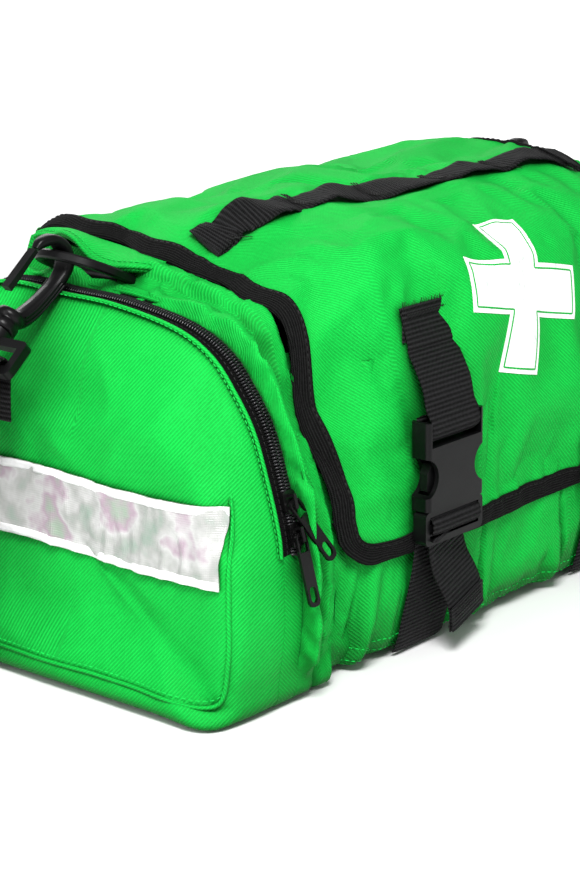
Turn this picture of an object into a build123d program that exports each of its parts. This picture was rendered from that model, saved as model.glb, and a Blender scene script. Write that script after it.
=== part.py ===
"""First-responder shoulder bag: a padded trunk under a buckled flap, with a zipped pocket at each end.

Row frame: X along the bag, Y towards its back, Z up. The origin is the middle of the bag's flat base.
"""
from build123d import *
from math import cos, radians, sin
import os

os.makedirs("parts", exist_ok=True)

# ---- driving dimensions, millimetres ------------------------------------------------------------
HALF_LENGTH = 216.0        # half of the 432 mm (17 in) bag
TRUNK_HALF = 150.0         # half of the main compartment
TRUNK_WALL = 3.0           # lined nylon with foam
FABRIC = 1.6               # single doubled layer of nylon
WEBBING = 38.0             # webbing width
WEB = 1.6                  # webbing thickness
GAP = 0.4                  # between cloth pieces on different bodies

# Cross-sections, (y, z), as polygons whose corners are rounded.
TRUNK = [(-90, 0), (-102, 60), (-102, 165), (-84, 189), (-40, 200), (60, 199),
         (94, 189), (104, 150), (104, 60), (92, 0)]
POCKET = [(-93, 0), (-107, 70), (-90, 134), (-64, 166), (-30, 177), (60, 182),
          (97, 170), (107, 120), (107, 60), (94, 0)]
CORNER_R = 12.0

# Flap
FLAP_HALF = 146.0
FLAP_IN, FLAP_OUT = 7.4, 9.8        # offsets of the flap's faces from the trunk's section
FLAP_HEM_Z = 57.0
FLAP_BACK_Y = 92.0
BINDING_W = 12.0
HANDLE_HALF, HANDLE_Y = 133.0, -34.0
CROSS_ARM, CROSS_SPAN = 27.0, 84.0   # first-aid cross on the flap

# Front slip pocket, offsets from the trunk's section
SLIP_HALF, SLIP_IN, SLIP_OUT, SLIP_TOP_Z = 138.0, 5.3, 6.9, 150.0

# Buckles
BUCKLE_X = 78.0
BUCKLE_BACK_Y, BUCKLE_FRONT_Y = -112.6, -124.0
SOCKET_Z0, SOCKET_Z1 = 79.0, 123.0
LADDER_Z0, LADDER_Z1 = 61.5, 78.5
SOCKET_HALF, LADDER_HALF, SLOT_HALF = 22.5, 23.0, 19.6

# End pocket, x distances from the middle
ZIP_X, TAPE_IN_X, TAPE_OUT_X = 178.5, 172.0, 185.0
TAPE_SPLIT = 0.3
ZIP_END_Z = 76.0
MOUTH_A, MOUTH_B = (-97.4, 106.0), (-4.0, 178.9)   # the fold of the pocket's front corner, (y, z)
STRIP_Z0, STRIP_Z1 = 66.0, 104.0                   # reflective strip

# D-ring and strap hook, at y = RING_Y
RING_Y = 33.0
RING_BASE = (163.0, 187.0)          # x distance and z of the bar in its webbing tab
RING_RISE = 26.0                    # degrees above level
RING_HALF, RING_REACH, RING_T = 25.0, 33.0, 4.6
HOOK_FALL = 40.0                    # degrees below level
HOOK_T, HOOK_IN, HOOK_OUT = 7.0, 9.5, 14.0
DROP_X = 258.0                      # where the shoulder strap hangs to the floor
REAR_Y = 147.0                      # where it lies behind the bag


def save(builder, label):
    builder.part.label = label
    export_step(builder.part, f"parts/{label}.step")


def save_pair(builder, stem):
    """Write a left-hand piece and its mirror image."""
    save(builder, stem + "_left")
    with BuildPart() as twin:
        mirror(builder.part, about=Plane.YZ)
    save(twin, stem + "_right")


def section(x, outline, grow=0.0):
    """A rounded cross-section at x, grown outwards or inwards."""
    with BuildSketch(Plane.YZ.offset(x)) as face:
        with BuildLine():
            FilletPolyline(*outline, radius=CORNER_R, close=True)
        make_face()
        if grow:
            offset(amount=grow, kind=Kind.ARC)
    return face.sketch


def prism(outline, grow, x0, x1, mode=Mode.ADD):
    """Extrude a cross-section along X, from x0 to x1, in the open part."""
    extrude(section(x0, outline, grow), amount=x1 - x0, mode=mode)


def band(outline, inner, outer, x0, x1):
    """A sheet that follows a cross-section between two offsets."""
    with BuildSketch(Plane.YZ.offset(x0)) as ring_face:
        add(Plane.YZ.offset(x0).to_local_coords(section(x0, outline, outer)))
        add(Plane.YZ.offset(x0).to_local_coords(section(x0, outline, inner)), mode=Mode.SUBTRACT)
    extrude(ring_face.sketch, amount=x1 - x0)


def slab(x, y, z, mode=Mode.ADD):
    """A box from its three (low, high) pairs."""
    with Locations(((x[0] + x[1]) / 2, (y[0] + y[1]) / 2, (z[0] + z[1]) / 2)):
        Box(x[1] - x[0], y[1] - y[0], z[1] - z[0], mode=mode)


def profile_x(points, x0, x1, mode=Mode.ADD):
    """Extrude a (y, z) polygon from x0 to x1."""
    with BuildSketch(Plane.YZ.offset(x0)) as face:
        Polygon(*points, align=None)
    extrude(face.sketch, amount=x1 - x0, mode=mode)


def profile_y(points, y0, y1, mode=Mode.ADD):
    """Extrude an (x, z) polygon from y0 to y1."""
    with BuildSketch(Plane(origin=(0, y0, 0), x_dir=(1, 0, 0), z_dir=(0, -1, 0))) as face:
        Polygon(*points, align=None)
    extrude(face.sketch, amount=y0 - y1, mode=mode)


FAR = 400.0

# ---- trunk --------------------------------------------------------------------------------------
with BuildPart() as trunk:
    prism(TRUNK, 0, -TRUNK_HALF, TRUNK_HALF)
    prism(TRUNK, -TRUNK_WALL, -TRUNK_HALF + TRUNK_WALL, TRUNK_HALF - TRUNK_WALL, Mode.SUBTRACT)
    mouth = [(-FAR, 158), (-60, 158), (86, 185), (86, FAR), (-FAR, FAR)]
    profile_x(mouth, -TRUNK_HALF + TRUNK_WALL, TRUNK_HALF - TRUNK_WALL, Mode.SUBTRACT)
save(trunk, "trunk_shell")

with BuildPart() as board:
    slab((-143, 143), (-81, 83), (TRUNK_WALL + 0.3, TRUNK_WALL + 3.3))
    fillet(board.edges().filter_by(Axis.Z), 10)
save(board, "base_board")

with BuildPart() as divider:
    prism(TRUNK, -TRUNK_WALL - 0.6, -54, -46)
    slab((-FAR, FAR), (-FAR, FAR), (-10, 7), Mode.SUBTRACT)
    slab((-FAR, FAR), (-FAR, FAR), (150, FAR), Mode.SUBTRACT)
save_pair(divider, "divider")

with BuildPart() as slip:
    band(TRUNK, 0.1, SLIP_OUT, -SLIP_HALF, SLIP_HALF)
    prism(TRUNK, SLIP_IN, -SLIP_HALF + FABRIC, SLIP_HALF - FABRIC, Mode.SUBTRACT)
    slab((-FAR, FAR), (-60, FAR), (-20, FAR), Mode.SUBTRACT)
    slab((-FAR, FAR), (-FAR, FAR), (-20, 3), Mode.SUBTRACT)
    slab((-FAR, FAR), (-FAR, FAR), (SLIP_TOP_Z, FAR), Mode.SUBTRACT)
    profile_x([(-91, 3), (-96.9, 3), (-98.2, 10), (-92.4, 10)], -SLIP_HALF, SLIP_HALF)
    prism(TRUNK, 0.1, -SLIP_HALF, SLIP_HALF, Mode.SUBTRACT)
save(slip, "front_slip_pocket")

# ---- flap ---------------------------------------------------------------------------------------
with BuildPart() as flap:
    band(TRUNK, FLAP_IN, FLAP_OUT, -FLAP_HALF, FLAP_HALF)
    slab((-FAR, FAR), (-FAR, FAR), (-20, FLAP_HEM_Z), Mode.SUBTRACT)
    slab((-FAR, FAR), (FLAP_BACK_Y, FAR), (-20, FAR), Mode.SUBTRACT)
save(flap, "main_flap")

with BuildPart() as binding:
    band(TRUNK, FLAP_OUT, FLAP_OUT + 0.6, -FLAP_HALF, FLAP_HALF)
    slab((-FAR, FAR), (-FAR, FAR), (-20, FLAP_HEM_Z), Mode.SUBTRACT)
    slab((-FAR, FAR), (FLAP_BACK_Y, FAR), (-20, FAR), Mode.SUBTRACT)
    inner_half = FLAP_HALF - BINDING_W
    slab((-inner_half, inner_half), (-FAR, FAR), (FLAP_HEM_Z + BINDING_W, FAR), Mode.SUBTRACT)
save(binding, "flap_binding")

with BuildPart() as emblem:
    band(TRUNK, FLAP_OUT + 0.05, FLAP_OUT + 0.55, -60, 60)
    slab((-FAR, FAR), (-60, FAR), (-20, FAR), Mode.SUBTRACT)
    with BuildSketch(Plane(origin=(0, -104, 170), x_dir=(1, 0, 0), z_dir=(0, -0.9, 0.436))):
        Rectangle(CROSS_SPAN, CROSS_ARM, rotation=-14)
        Rectangle(CROSS_ARM, CROSS_SPAN, rotation=-14)
    extrude(amount=60, both=True, mode=Mode.INTERSECT)
save(emblem, "flap_emblem")

with BuildPart() as handle:
    band(TRUNK, FLAP_OUT, FLAP_OUT + WEB, -HANDLE_HALF, HANDLE_HALF)
    slab((-FAR, FAR), (HANDLE_Y + WEBBING / 2, FAR), (-20, FAR), Mode.SUBTRACT)
    slab((-FAR, FAR), (-FAR, HANDLE_Y - WEBBING / 2), (-20, FAR), Mode.SUBTRACT)
    slab((-FAR, FAR), (-FAR, FAR), (-20, 100), Mode.SUBTRACT)
save(handle, "carry_handle")

# ---- buckles ------------------------------------------------------------------------------------
BX = -BUCKLE_X
FLAP_FACE_Y = -102 - FLAP_OUT
with BuildPart() as upper_strap:
    outer = [(FLAP_FACE_Y, 174), (FLAP_FACE_Y - WEB, 174), (FLAP_FACE_Y - WEB, 137), (-123.6, 124.5),
             (-123.6, 112.8), (-113.2, 112.8), (-113.2, 128), (FLAP_FACE_Y, 134)]
    profile_x(outer, BX - WEBBING / 2, BX + WEBBING / 2)
    around_bar = [(-122.0, 114.4), (-114.8, 114.4), (-114.8, 128.5), (-122.0, 123.9)]
    profile_x(around_bar, BX - WEBBING / 2, BX + WEBBING / 2, Mode.SUBTRACT)
save_pair(upper_strap, "flap_strap")

with BuildPart() as socket:
    slab((BX - SOCKET_HALF, BX + SOCKET_HALF), (BUCKLE_FRONT_Y, BUCKLE_BACK_Y), (SOCKET_Z0, SOCKET_Z1))
    fillet(socket.edges().filter_by(Axis.Z), 2.5)
    slab((BX - SLOT_HALF, BX + SLOT_HALF), (-121.6, -115.0), (SOCKET_Z0 - 1, 106), Mode.SUBTRACT)
    slab((BX - SLOT_HALF, BX + SLOT_HALF), (-130, -110), (110.5, 117.0), Mode.SUBTRACT)
    slab((BX - SLOT_HALF, BX + SLOT_HALF), (-130, -120.6), (116.9, 124), Mode.SUBTRACT)
    slab((BX - SLOT_HALF, BX + SLOT_HALF), (-116.2, -110), (116.9, 124), Mode.SUBTRACT)
    slab((BX - SLOT_HALF, BX + SLOT_HALF), (-130, -110), (121.6, 124), Mode.SUBTRACT)
    for s in (-1, 1):
        with BuildSketch(Plane.XZ.offset(130)):
            with Locations((BX + s * 24.5, 95.5)):
                Circle(10)
        extrude(amount=-30, mode=Mode.SUBTRACT)
save_pair(socket, "buckle_socket")

with BuildPart() as plug:
    slab((BX - LADDER_HALF, BX + LADDER_HALF), (-122.8, -115.2), (LADDER_Z0, LADDER_Z1))
    fillet(plug.edges().filter_by(Axis.Y), 3)
    slab((BX - SLOT_HALF, BX + SLOT_HALF), (-130, -110), (64.8, 68.6), Mode.SUBTRACT)
    slab((BX - SLOT_HALF, BX + SLOT_HALF), (-130, -110), (72.0, 75.8), Mode.SUBTRACT)
    slab((BX - SLOT_HALF, BX + SLOT_HALF), (-118.2, -110), (50, 65), Mode.SUBTRACT)
    slab((BX - 7, BX + 7), (-120.4, -116.2), (LADDER_Z1 - 0.5, 101))
save_pair(plug, "buckle_plug")

for prong_name, s in (("outer", -1), ("inner", 1)):
    with BuildPart() as prong:
        side_view = [(12.2, 78.9), (16.2, 78.9), (16.6, 87.0), (19.2, 88.5), (19.2, 97.0),
                     (16.0, 101.5), (13.4, 101.5), (12.4, 96.0)]
        profile_y([(BX + s * x, z) for x, z in side_view], -120.6, -116.0)
    save_pair(prong, f"buckle_prong_{prong_name}")

# The lower strap rises behind the ladder-lock, laps its middle bar and hangs down as a free end.
with BuildPart() as lower_strap:
    x0, x1 = BX - WEBBING / 2, BX + WEBBING / 2
    profile_x([(-98.4, 1), (-100.0, 1), (-114.4, 60), (-112.8, 60)], x0, x1)
    slab((x0, x1), (-114.4, -112.8), (59, 74.2))
    slab((x0, x1), (-125.2, -112.8), (72.6, 74.2))
    slab((x0, x1), (-125.2, -123.6), (65.2, 74.2))
    slab((x0, x1), (-125.2, -115.6), (65.2, 66.8))
    slab((x0, x1), (-117.2, -115.6), (15.0, 66.8))
save_pair(lower_strap, "buckle_strap")

# ---- end pockets --------------------------------------------------------------------------------
SIDE_VIEW = [(-140, 0), (-140, 240), (-186, 240), (-188, 186), (-197, 168), (-208, 142),
             (-214, 118), (-HALF_LENGTH, 100), (-HALF_LENGTH, 20), (-211, 5), (-205, 0)]
fold_dy, fold_dz = MOUTH_B[0] - MOUTH_A[0], MOUTH_B[1] - MOUTH_A[1]
fold_len = (fold_dy ** 2 + fold_dz ** 2) ** 0.5
FOLD = (fold_dy / fold_len, fold_dz / fold_len)


def corner_side(shift, mode):
    """Cut away (or keep) the front top corner beyond the fold, moved outwards by shift."""
    across = (-FOLD[1], FOLD[0])
    start = (MOUTH_A[0] - 60 * FOLD[0] + shift * across[0], MOUTH_A[1] - 60 * FOLD[1] + shift * across[1])
    end = (MOUTH_B[0] + shift * across[0], MOUTH_B[1] + shift * across[1])
    corner = [(MOUTH_A[0] + shift * across[0], MOUTH_A[1] + shift * across[1]), end,
              (end[0] - 90 * FOLD[1], end[1] + 90 * FOLD[0]),
              (start[0] - 90 * FOLD[1] + 60 * FOLD[0], start[1] + 90 * FOLD[0] + 60 * FOLD[1])]
    profile_x(corner, -HALF_LENGTH - 20, -TAPE_OUT_X + 7, mode)


def outer_cap():
    """The pocket's outer half: a rounded cap that is open towards the zip."""
    prism(POCKET, 0, -HALF_LENGTH, -TAPE_OUT_X)
    profile_y(SIDE_VIEW, -FAR, FAR, Mode.INTERSECT)


with BuildPart() as cap_core:
    prism(POCKET, -FABRIC, -HALF_LENGTH + FABRIC, -TAPE_OUT_X + 1)
    inner_view = [(x + FABRIC, z - (FABRIC if z > 20 else -FABRIC)) for x, z in SIDE_VIEW]
    profile_y(inner_view, -FAR, FAR, Mode.INTERSECT)

with BuildPart() as sleeve:
    band(POCKET, -FABRIC, 0, -TAPE_OUT_X, -TRUNK_HALF)
    slab((-TAPE_OUT_X - 1, -TAPE_IN_X), (-FAR, FAR), (ZIP_END_Z, FAR), Mode.SUBTRACT)

with BuildPart() as pocket:
    outer_cap()
    add(cap_core.part, mode=Mode.SUBTRACT)
    corner_side(-GAP, Mode.SUBTRACT)
    add(sleeve.part)
save_pair(pocket, "pocket_shell")

with BuildPart() as corner:
    outer_cap()
    add(cap_core.part, mode=Mode.SUBTRACT)
    corner_side(GAP, Mode.INTERSECT)
save_pair(corner, "pocket_corner")

COIL = 1.3      # height and width of one row of coil
with BuildPart() as tape:
    band(POCKET, -FABRIC, -0.2, -ZIP_X + TAPE_SPLIT, -TAPE_IN_X)
    band(POCKET, -0.2, COIL, -ZIP_X + TAPE_SPLIT, -ZIP_X + TAPE_SPLIT + COIL)
    slab((-FAR, FAR), (-FAR, FAR), (-20, ZIP_END_Z + 0.2), Mode.SUBTRACT)
save_pair(tape, "zip_tape_inner")


def outer_tape():
    band(POCKET, -FABRIC, -0.2, -TAPE_OUT_X, -ZIP_X - TAPE_SPLIT)
    band(POCKET, -0.2, COIL, -ZIP_X - TAPE_SPLIT - COIL, -ZIP_X - TAPE_SPLIT)
    slab((-FAR, FAR), (-FAR, FAR), (-20, ZIP_END_Z + 0.2), Mode.SUBTRACT)


with BuildPart() as tape_fixed:
    outer_tape()
    corner_side(-GAP, Mode.SUBTRACT)
save_pair(tape_fixed, "zip_tape_outer")

with BuildPart() as tape_corner:
    outer_tape()
    corner_side(GAP, Mode.INTERSECT)
save_pair(tape_corner, "zip_tape_corner")

with BuildPart() as strip:
    slab((-HALF_LENGTH - 0.5, -HALF_LENGTH), (-103, 103), (STRIP_Z0, STRIP_Z1))
    prism(POCKET, -1.5, -HALF_LENGTH - 1, -HALF_LENGTH + 1, Mode.INTERSECT)
    profile_y(SIDE_VIEW, -FAR, FAR, Mode.SUBTRACT)
save_pair(strip, "reflective_strip")

# ---- zip sliders, on the straight front stretch of the zip --------------------------------------
zip_dy, zip_dz = POCKET[2][0] - POCKET[1][0], POCKET[2][1] - POCKET[1][1]
zip_len = (zip_dy ** 2 + zip_dz ** 2) ** 0.5
UP_ZIP = (0, zip_dy / zip_len, zip_dz / zip_len)
OUT_ZIP = (0, -UP_ZIP[2], UP_ZIP[1])
SLIDER_LEN, SLIDER_W, SLIDER_T = 11.0, 8.4, 3.2
CROWN_IN, CROWN_OUT = 2.2, 3.6
TAB_LEN, TAB_W, TAB_T = 35.0, 7.4, 1.5


def zip_plane(z, lift):
    """A plane on the zip's straight stretch at height z, lift above the cloth; its Y runs up the zip."""
    share = (z - POCKET[1][1]) / zip_dz
    y = POCKET[1][0] + share * zip_dy
    origin = (-ZIP_X, y + OUT_ZIP[1] * lift, z + OUT_ZIP[2] * lift)
    return Plane(origin=origin, x_dir=(1, 0, 0), z_dir=OUT_ZIP)


SLIDER_LIFT = COIL + 0.4
PIVOT_LIFT = SLIDER_LIFT + SLIDER_T + 1.6
for name, z, lean, tilt in (("upper", 99.0, 25.0, 7.0), ("lower", 84.0, 0.0, 0.0)):
    with BuildPart() as slider:
        with BuildSketch(zip_plane(z, SLIDER_LIFT)):
            RectangleRounded(SLIDER_W, SLIDER_LEN, 2.4)
        extrude(amount=SLIDER_T)
        with BuildSketch(zip_plane(z, SLIDER_LIFT + SLIDER_T - 0.1)):
            Rectangle(1.8, 2 * CROWN_OUT)
        extrude(amount=4.3)
        with BuildSketch(zip_plane(z, SLIDER_LIFT + SLIDER_T)):
            Rectangle(4.0, 2 * CROWN_IN)
        extrude(amount=2.9, mode=Mode.SUBTRACT)
        chamfer(slider.faces().sort_by(Axis.Y)[0].edges(), 0.4)
    save_pair(slider, f"zip_slider_{name}")

    with BuildPart() as tab:
        # The tab's cross-bar lies under the crown; the plate hangs down the slope from it.
        pivot = zip_plane(z, PIVOT_LIFT)
        aside, out = radians(lean), radians(tilt)
        across = pivot.x_dir * cos(aside) + pivot.y_dir * sin(aside)
        along = pivot.y_dir * cos(aside) - pivot.x_dir * sin(aside)
        hang = Plane(origin=pivot.origin, x_dir=across, z_dir=pivot.z_dir * cos(out) + along * sin(out))
        with BuildSketch(hang.offset(-TAB_T / 2)):
            with Locations((0, -TAB_LEN / 2 + 0.8)):
                RectangleRounded(TAB_W, TAB_LEN, 3.0)
            with Locations((0, -4.6)):
                Rectangle(5.4, 7.6, mode=Mode.SUBTRACT)
            with Locations((0, -TAB_LEN + 6.6)):
                SlotCenterToCenter(3.2, 4.4, rotation=90, mode=Mode.SUBTRACT)
        extrude(amount=TAB_T)
    save_pair(tab, f"zip_pull_{name}")

# ---- D-rings ------------------------------------------------------------------------------------
rise = radians(RING_RISE)
ring_centre = (-RING_BASE[0], RING_Y, RING_BASE[1])
ring_plane = Plane(origin=ring_centre, x_dir=(0, 1, 0), z_dir=(sin(rise), 0, cos(rise)))
RING_BAR = 5.0
with BuildPart() as ring:
    with BuildSketch(ring_plane.offset(-RING_T / 2)):
        for grow, mode in ((RING_BAR / 2, Mode.ADD), (-RING_BAR / 2, Mode.SUBTRACT)):
            half = RING_HALF - RING_BAR / 2 + grow
            with BuildLine():
                arm = RING_REACH - RING_HALF
                low = -grow
                Polyline((-half, arm), (-half, low), (half, low), (half, arm))
                RadiusArc((half, arm), (-half, arm), -half)
            make_face(mode=mode)
    extrude(amount=RING_T)
    chamfer(ring.faces().filter_by(ring_plane.offset(0)).edges(), 0.9)
save_pair(ring, "d_ring")

with BuildPart() as ring_tab:
    with BuildSketch(Plane(origin=(0, RING_Y - WEBBING / 2, 0), x_dir=(1, 0, 0), z_dir=(0, -1, 0))):
        with Locations((-RING_BASE[0], RING_BASE[1])):
            Circle(4.9)
        with Locations(((-RING_BASE[0] - TRUNK_HALF) / 2 - 0.5, RING_BASE[1] - 2.6)):
            Rectangle(RING_BASE[0] - TRUNK_HALF, 4.4)
        with Locations((-RING_BASE[0], RING_BASE[1])):
            Circle(3.4, mode=Mode.SUBTRACT)
    extrude(amount=-WEBBING)
    slab((-TRUNK_HALF - 0.1, 0), (0, 60), (150, 220), Mode.SUBTRACT)
save_pair(ring_tab, "ring_tab")

# ---- strap hooks --------------------------------------------------------------------------------
fall = radians(HOOK_FALL)
bow = RING_REACH - RING_BAR / 2
BOW_X, BOW_Z = -RING_BASE[0] - bow * cos(rise), RING_BASE[1] + bow * sin(rise)
ARCH_DROP = HOOK_IN - 4.0
ARCH = (BOW_X - ARCH_DROP * cos(fall), RING_Y, BOW_Z - ARCH_DROP * sin(fall))
# The hook's own plane: local X runs up and out from its axis, local Y runs up the axis to the arch.
hook_plane = Plane(origin=ARCH, x_dir=(-sin(fall), 0, cos(fall)), z_dir=(0, 1, 0))
THROAT, SLEEVE_TOP, SLEEVE_END, FRAME_TOP, FRAME_END = -26.0, -33.0, -42.0, -46.5, -66.0

with BuildPart() as hook:
    with BuildSketch(hook_plane.offset(-HOOK_T / 2)):
        Circle(HOOK_OUT)
        Rectangle(2 * HOOK_OUT, -THROAT + 1, align=(Align.CENTER, Align.MAX))
        with BuildLine():
            neck = SLEEVE_TOP - 1
            Polyline((-HOOK_OUT, THROAT), (HOOK_OUT, THROAT), (6.5, neck), (-6.5, neck), close=True)
        make_face()
        Circle(HOOK_IN, mode=Mode.SUBTRACT)
        Rectangle(2 * HOOK_IN, -THROAT, align=(Align.CENTER, Align.MAX), mode=Mode.SUBTRACT)
        with Locations((HOOK_OUT, -1)):
            Rectangle(10, -THROAT - 1, align=(Align.CENTER, Align.MAX), mode=Mode.SUBTRACT)
    extrude(amount=HOOK_T)
    sleeve_foot = hook_plane.from_local_coords((0, SLEEVE_END, 0))
    with BuildSketch(Plane(origin=sleeve_foot, z_dir=hook_plane.y_dir)):
        Circle(7.0)
        Circle(3.26, mode=Mode.SUBTRACT)
    extrude(amount=SLEEVE_TOP - SLEEVE_END)
save_pair(hook, "snap_hook")

with BuildPart() as gate:
    with BuildSketch(hook_plane.offset(-2.4)):
        with BuildLine():
            Polyline((HOOK_IN + 0.2, THROAT + 0.6), (HOOK_OUT - 0.8, THROAT + 0.6), (HOOK_OUT - 1.2, -1.6),
                     (HOOK_IN + 0.9, -1.6), close=True)
        make_face()
    extrude(amount=4.8)
save_pair(gate, "hook_gate")

with BuildPart() as swivel:
    with BuildSketch(Plane(origin=hook_plane.from_local_coords((0, FRAME_TOP, 0)), z_dir=hook_plane.y_dir)):
        Circle(6.2)
    extrude(amount=SLEEVE_END - FRAME_TOP - 0.4)
    with BuildSketch(Plane(origin=hook_plane.from_local_coords((0, FRAME_TOP, 0)), z_dir=hook_plane.y_dir)):
        Circle(3.2)
    extrude(amount=SLEEVE_TOP - FRAME_TOP - 1.6)
    frame_mid = hook_plane.from_local_coords((0, (FRAME_TOP + FRAME_END) / 2, 0))
    with BuildSketch(Plane(origin=frame_mid, x_dir=(0, 1, 0), z_dir=hook_plane.x_dir).offset(-2.3)):
        RectangleRounded(49, FRAME_TOP - FRAME_END, 3)
        Rectangle(40.4, FRAME_TOP - FRAME_END - 9.2, mode=Mode.SUBTRACT)
    extrude(amount=4.6)
save_pair(swivel, "hook_swivel")

# ---- shoulder strap -----------------------------------------------------------------------------
far_bar = hook_plane.from_local_coords((0, FRAME_END + 2.3, 0))
BAR_X, BAR_Z = far_bar.X, far_bar.Z


def strap_side(builder_end_x):
    """The left half: a loop on the hook, a drop to the floor, and the run behind the bag."""
    with BuildSketch(Plane(origin=(0, RING_Y - WEBBING / 2, 0), x_dir=(1, 0, 0), z_dir=(0, -1, 0))) as drop:
        with Locations((BAR_X, BAR_Z)):
            Circle(5.4)
        with BuildLine():
            Polyline((BAR_X - 5.2, BAR_Z), (-DROP_X - 0.8, BAR_Z - 30), (-DROP_X - 0.8, 70),
                     (-DROP_X + 0.8, 70), (-DROP_X + 0.8, BAR_Z - 31), (BAR_X - 3.5, BAR_Z - 1.5),
                     close=True)
        make_face()
        with Locations((BAR_X, BAR_Z)):
            Circle(3.8, mode=Mode.SUBTRACT)
    extrude(drop.sketch, amount=-WEBBING)
    x0, x1 = -DROP_X - WEBBING / 2, -DROP_X + WEBBING / 2
    ribbon = [(RING_Y - 0.8, 95), (RING_Y - 0.8, 60), (RING_Y + 12, 22), (RING_Y + 45, 0.3), (REAR_Y, 0.3),
              (REAR_Y, 0.3 + WEB), (RING_Y + 46, 0.3 + WEB), (RING_Y + 13.4, 23), (RING_Y + 0.8, 60.5),
              (RING_Y + 0.8, 95)]
    profile_x(ribbon, x0, x1)
    slab((x0, builder_end_x), (REAR_Y - WEBBING / 2, REAR_Y + WEBBING / 2), (0.3, 0.3 + WEB))


ADJUSTER_X = 57.0
with BuildPart() as strap_left:
    strap_side(ADJUSTER_X - 1)
save(strap_left, "shoulder_strap_left")

with BuildPart() as strap_right_half:
    strap_side(-ADJUSTER_X - 1)
with BuildPart() as strap_right:
    mirror(strap_right_half.part, about=Plane.YZ)
save(strap_right, "shoulder_strap_right")

with BuildPart() as adjuster:
    slab((ADJUSTER_X - 15, ADJUSTER_X + 15), (REAR_Y - 25, REAR_Y + 25), (2.2, 6.0))
    fillet(adjuster.edges().filter_by(Axis.Z), 4)
    for dx in (-6.6, 6.6):
        slot_x = (ADJUSTER_X + dx - 3.6, ADJUSTER_X + dx + 3.6)
        slab(slot_x, (REAR_Y - 20.4, REAR_Y + 20.4), (0, 8), Mode.SUBTRACT)
save(adjuster, "strap_adjuster")
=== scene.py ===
"""Looks for the first-responder shoulder bag: cloth, webbing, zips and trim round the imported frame."""
import math
import bpy
import numpy as np
from mathutils import Matrix, Vector, noise


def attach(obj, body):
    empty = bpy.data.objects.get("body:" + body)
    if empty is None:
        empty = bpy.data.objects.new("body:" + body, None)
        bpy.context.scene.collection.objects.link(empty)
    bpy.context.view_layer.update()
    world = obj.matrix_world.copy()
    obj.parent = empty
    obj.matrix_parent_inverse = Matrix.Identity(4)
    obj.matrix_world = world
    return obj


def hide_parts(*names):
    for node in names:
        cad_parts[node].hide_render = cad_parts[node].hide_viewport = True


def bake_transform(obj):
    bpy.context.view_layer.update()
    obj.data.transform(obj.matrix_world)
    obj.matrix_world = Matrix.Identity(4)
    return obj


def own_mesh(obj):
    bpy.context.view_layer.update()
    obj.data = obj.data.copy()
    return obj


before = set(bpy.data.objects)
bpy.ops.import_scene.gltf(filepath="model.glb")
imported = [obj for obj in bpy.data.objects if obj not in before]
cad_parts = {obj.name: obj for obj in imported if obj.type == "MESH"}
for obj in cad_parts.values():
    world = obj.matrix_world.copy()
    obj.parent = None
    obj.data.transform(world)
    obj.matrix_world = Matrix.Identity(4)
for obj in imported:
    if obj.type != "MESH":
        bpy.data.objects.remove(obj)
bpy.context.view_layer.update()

MM = 0.001
SIDES = (("left", -1), ("right", 1))

# ---- camera --------------------------------------------------------------------------------------
camera = bpy.data.objects.new("camera", bpy.data.cameras.new("camera"))
bpy.context.scene.collection.objects.link(camera)
camera.data.sensor_width = 36
camera.data.lens = 95.77
RIGHT = Vector((0.649, -0.760, -0.012))
UP = Vector((0.212, 0.166, 0.963))
FORWARD = Vector((0.730, 0.628, -0.269))
turn = Matrix((RIGHT, UP, -FORWARD)).transposed().to_quaternion().normalized().to_matrix().to_4x4()
camera.matrix_world = Matrix.Translation((-0.9431, -0.7620, 0.4136)) @ turn
camera.data.clip_start = 0.01
bpy.context.scene.camera = camera


# ---- curves and grids, in millimetres --------------------------------------------------------------
def spline(points, count, closed=False):
    """Points spaced evenly along a Catmull-Rom curve through the given ones."""
    p = np.array(points, float)
    n = len(p)
    if closed:
        p = np.vstack([p[-1], p, p[0], p[1]])
    else:
        p = np.vstack([2 * p[0] - p[1], p, 2 * p[-1] - p[-2]])
    t = np.linspace(0, 1, 24, endpoint=False)[:, None]
    runs = []
    for i in range(n if closed else n - 1):
        a, b, c, d = p[i:i + 4]
        runs.append(0.5 * (2 * b + (c - a) * t + (2 * a - 5 * b + 4 * c - d) * t ** 2
                           + (3 * b - a - 3 * c + d) * t ** 3))
    runs.append(p[1 if closed else -2][None, :])
    return resample(np.vstack(runs), count)


def lengths(p):
    """Distance along a polyline at each of its points."""
    return np.concatenate([[0], np.cumsum(np.linalg.norm(np.diff(p, axis=0), axis=1))])


def resample(p, count):
    along = lengths(p)
    want = np.linspace(0, along[-1], count) if np.isscalar(count) else np.array(count)
    return np.stack([np.interp(want, along, p[:, k]) for k in range(p.shape[1])], axis=1)


def unit(v):
    """Directions scaled to length one."""
    return v / np.maximum(np.linalg.norm(v, axis=-1, keepdims=True), 1e-9)


def quads_of(a, b):
    """Corner numbers of the quads in a grid of a rows and b columns."""
    index = np.arange(a * b).reshape(a, b)
    corners = [index[:-1, :-1], index[1:, :-1], index[1:, 1:], index[:-1, 1:]]
    return np.stack(corners, axis=-1).reshape(-1, 4)


def smooth(a, b, x):
    t = np.clip((x - a) / (b - a), 0, 1)
    return t * t * (3 - 2 * t)


def normals(p, wrap=False):
    """Unit normals of a grid of points; wrap joins the grid's first and last columns."""
    if wrap:
        q = np.concatenate([p[:, -2:-1], p, p[:, 1:2]], axis=1)
        dv = (q[:, 2:] - q[:, :-2])
    else:
        dv = np.gradient(p, axis=1)
    return unit(np.cross(np.gradient(p, axis=0), dv))


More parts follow.
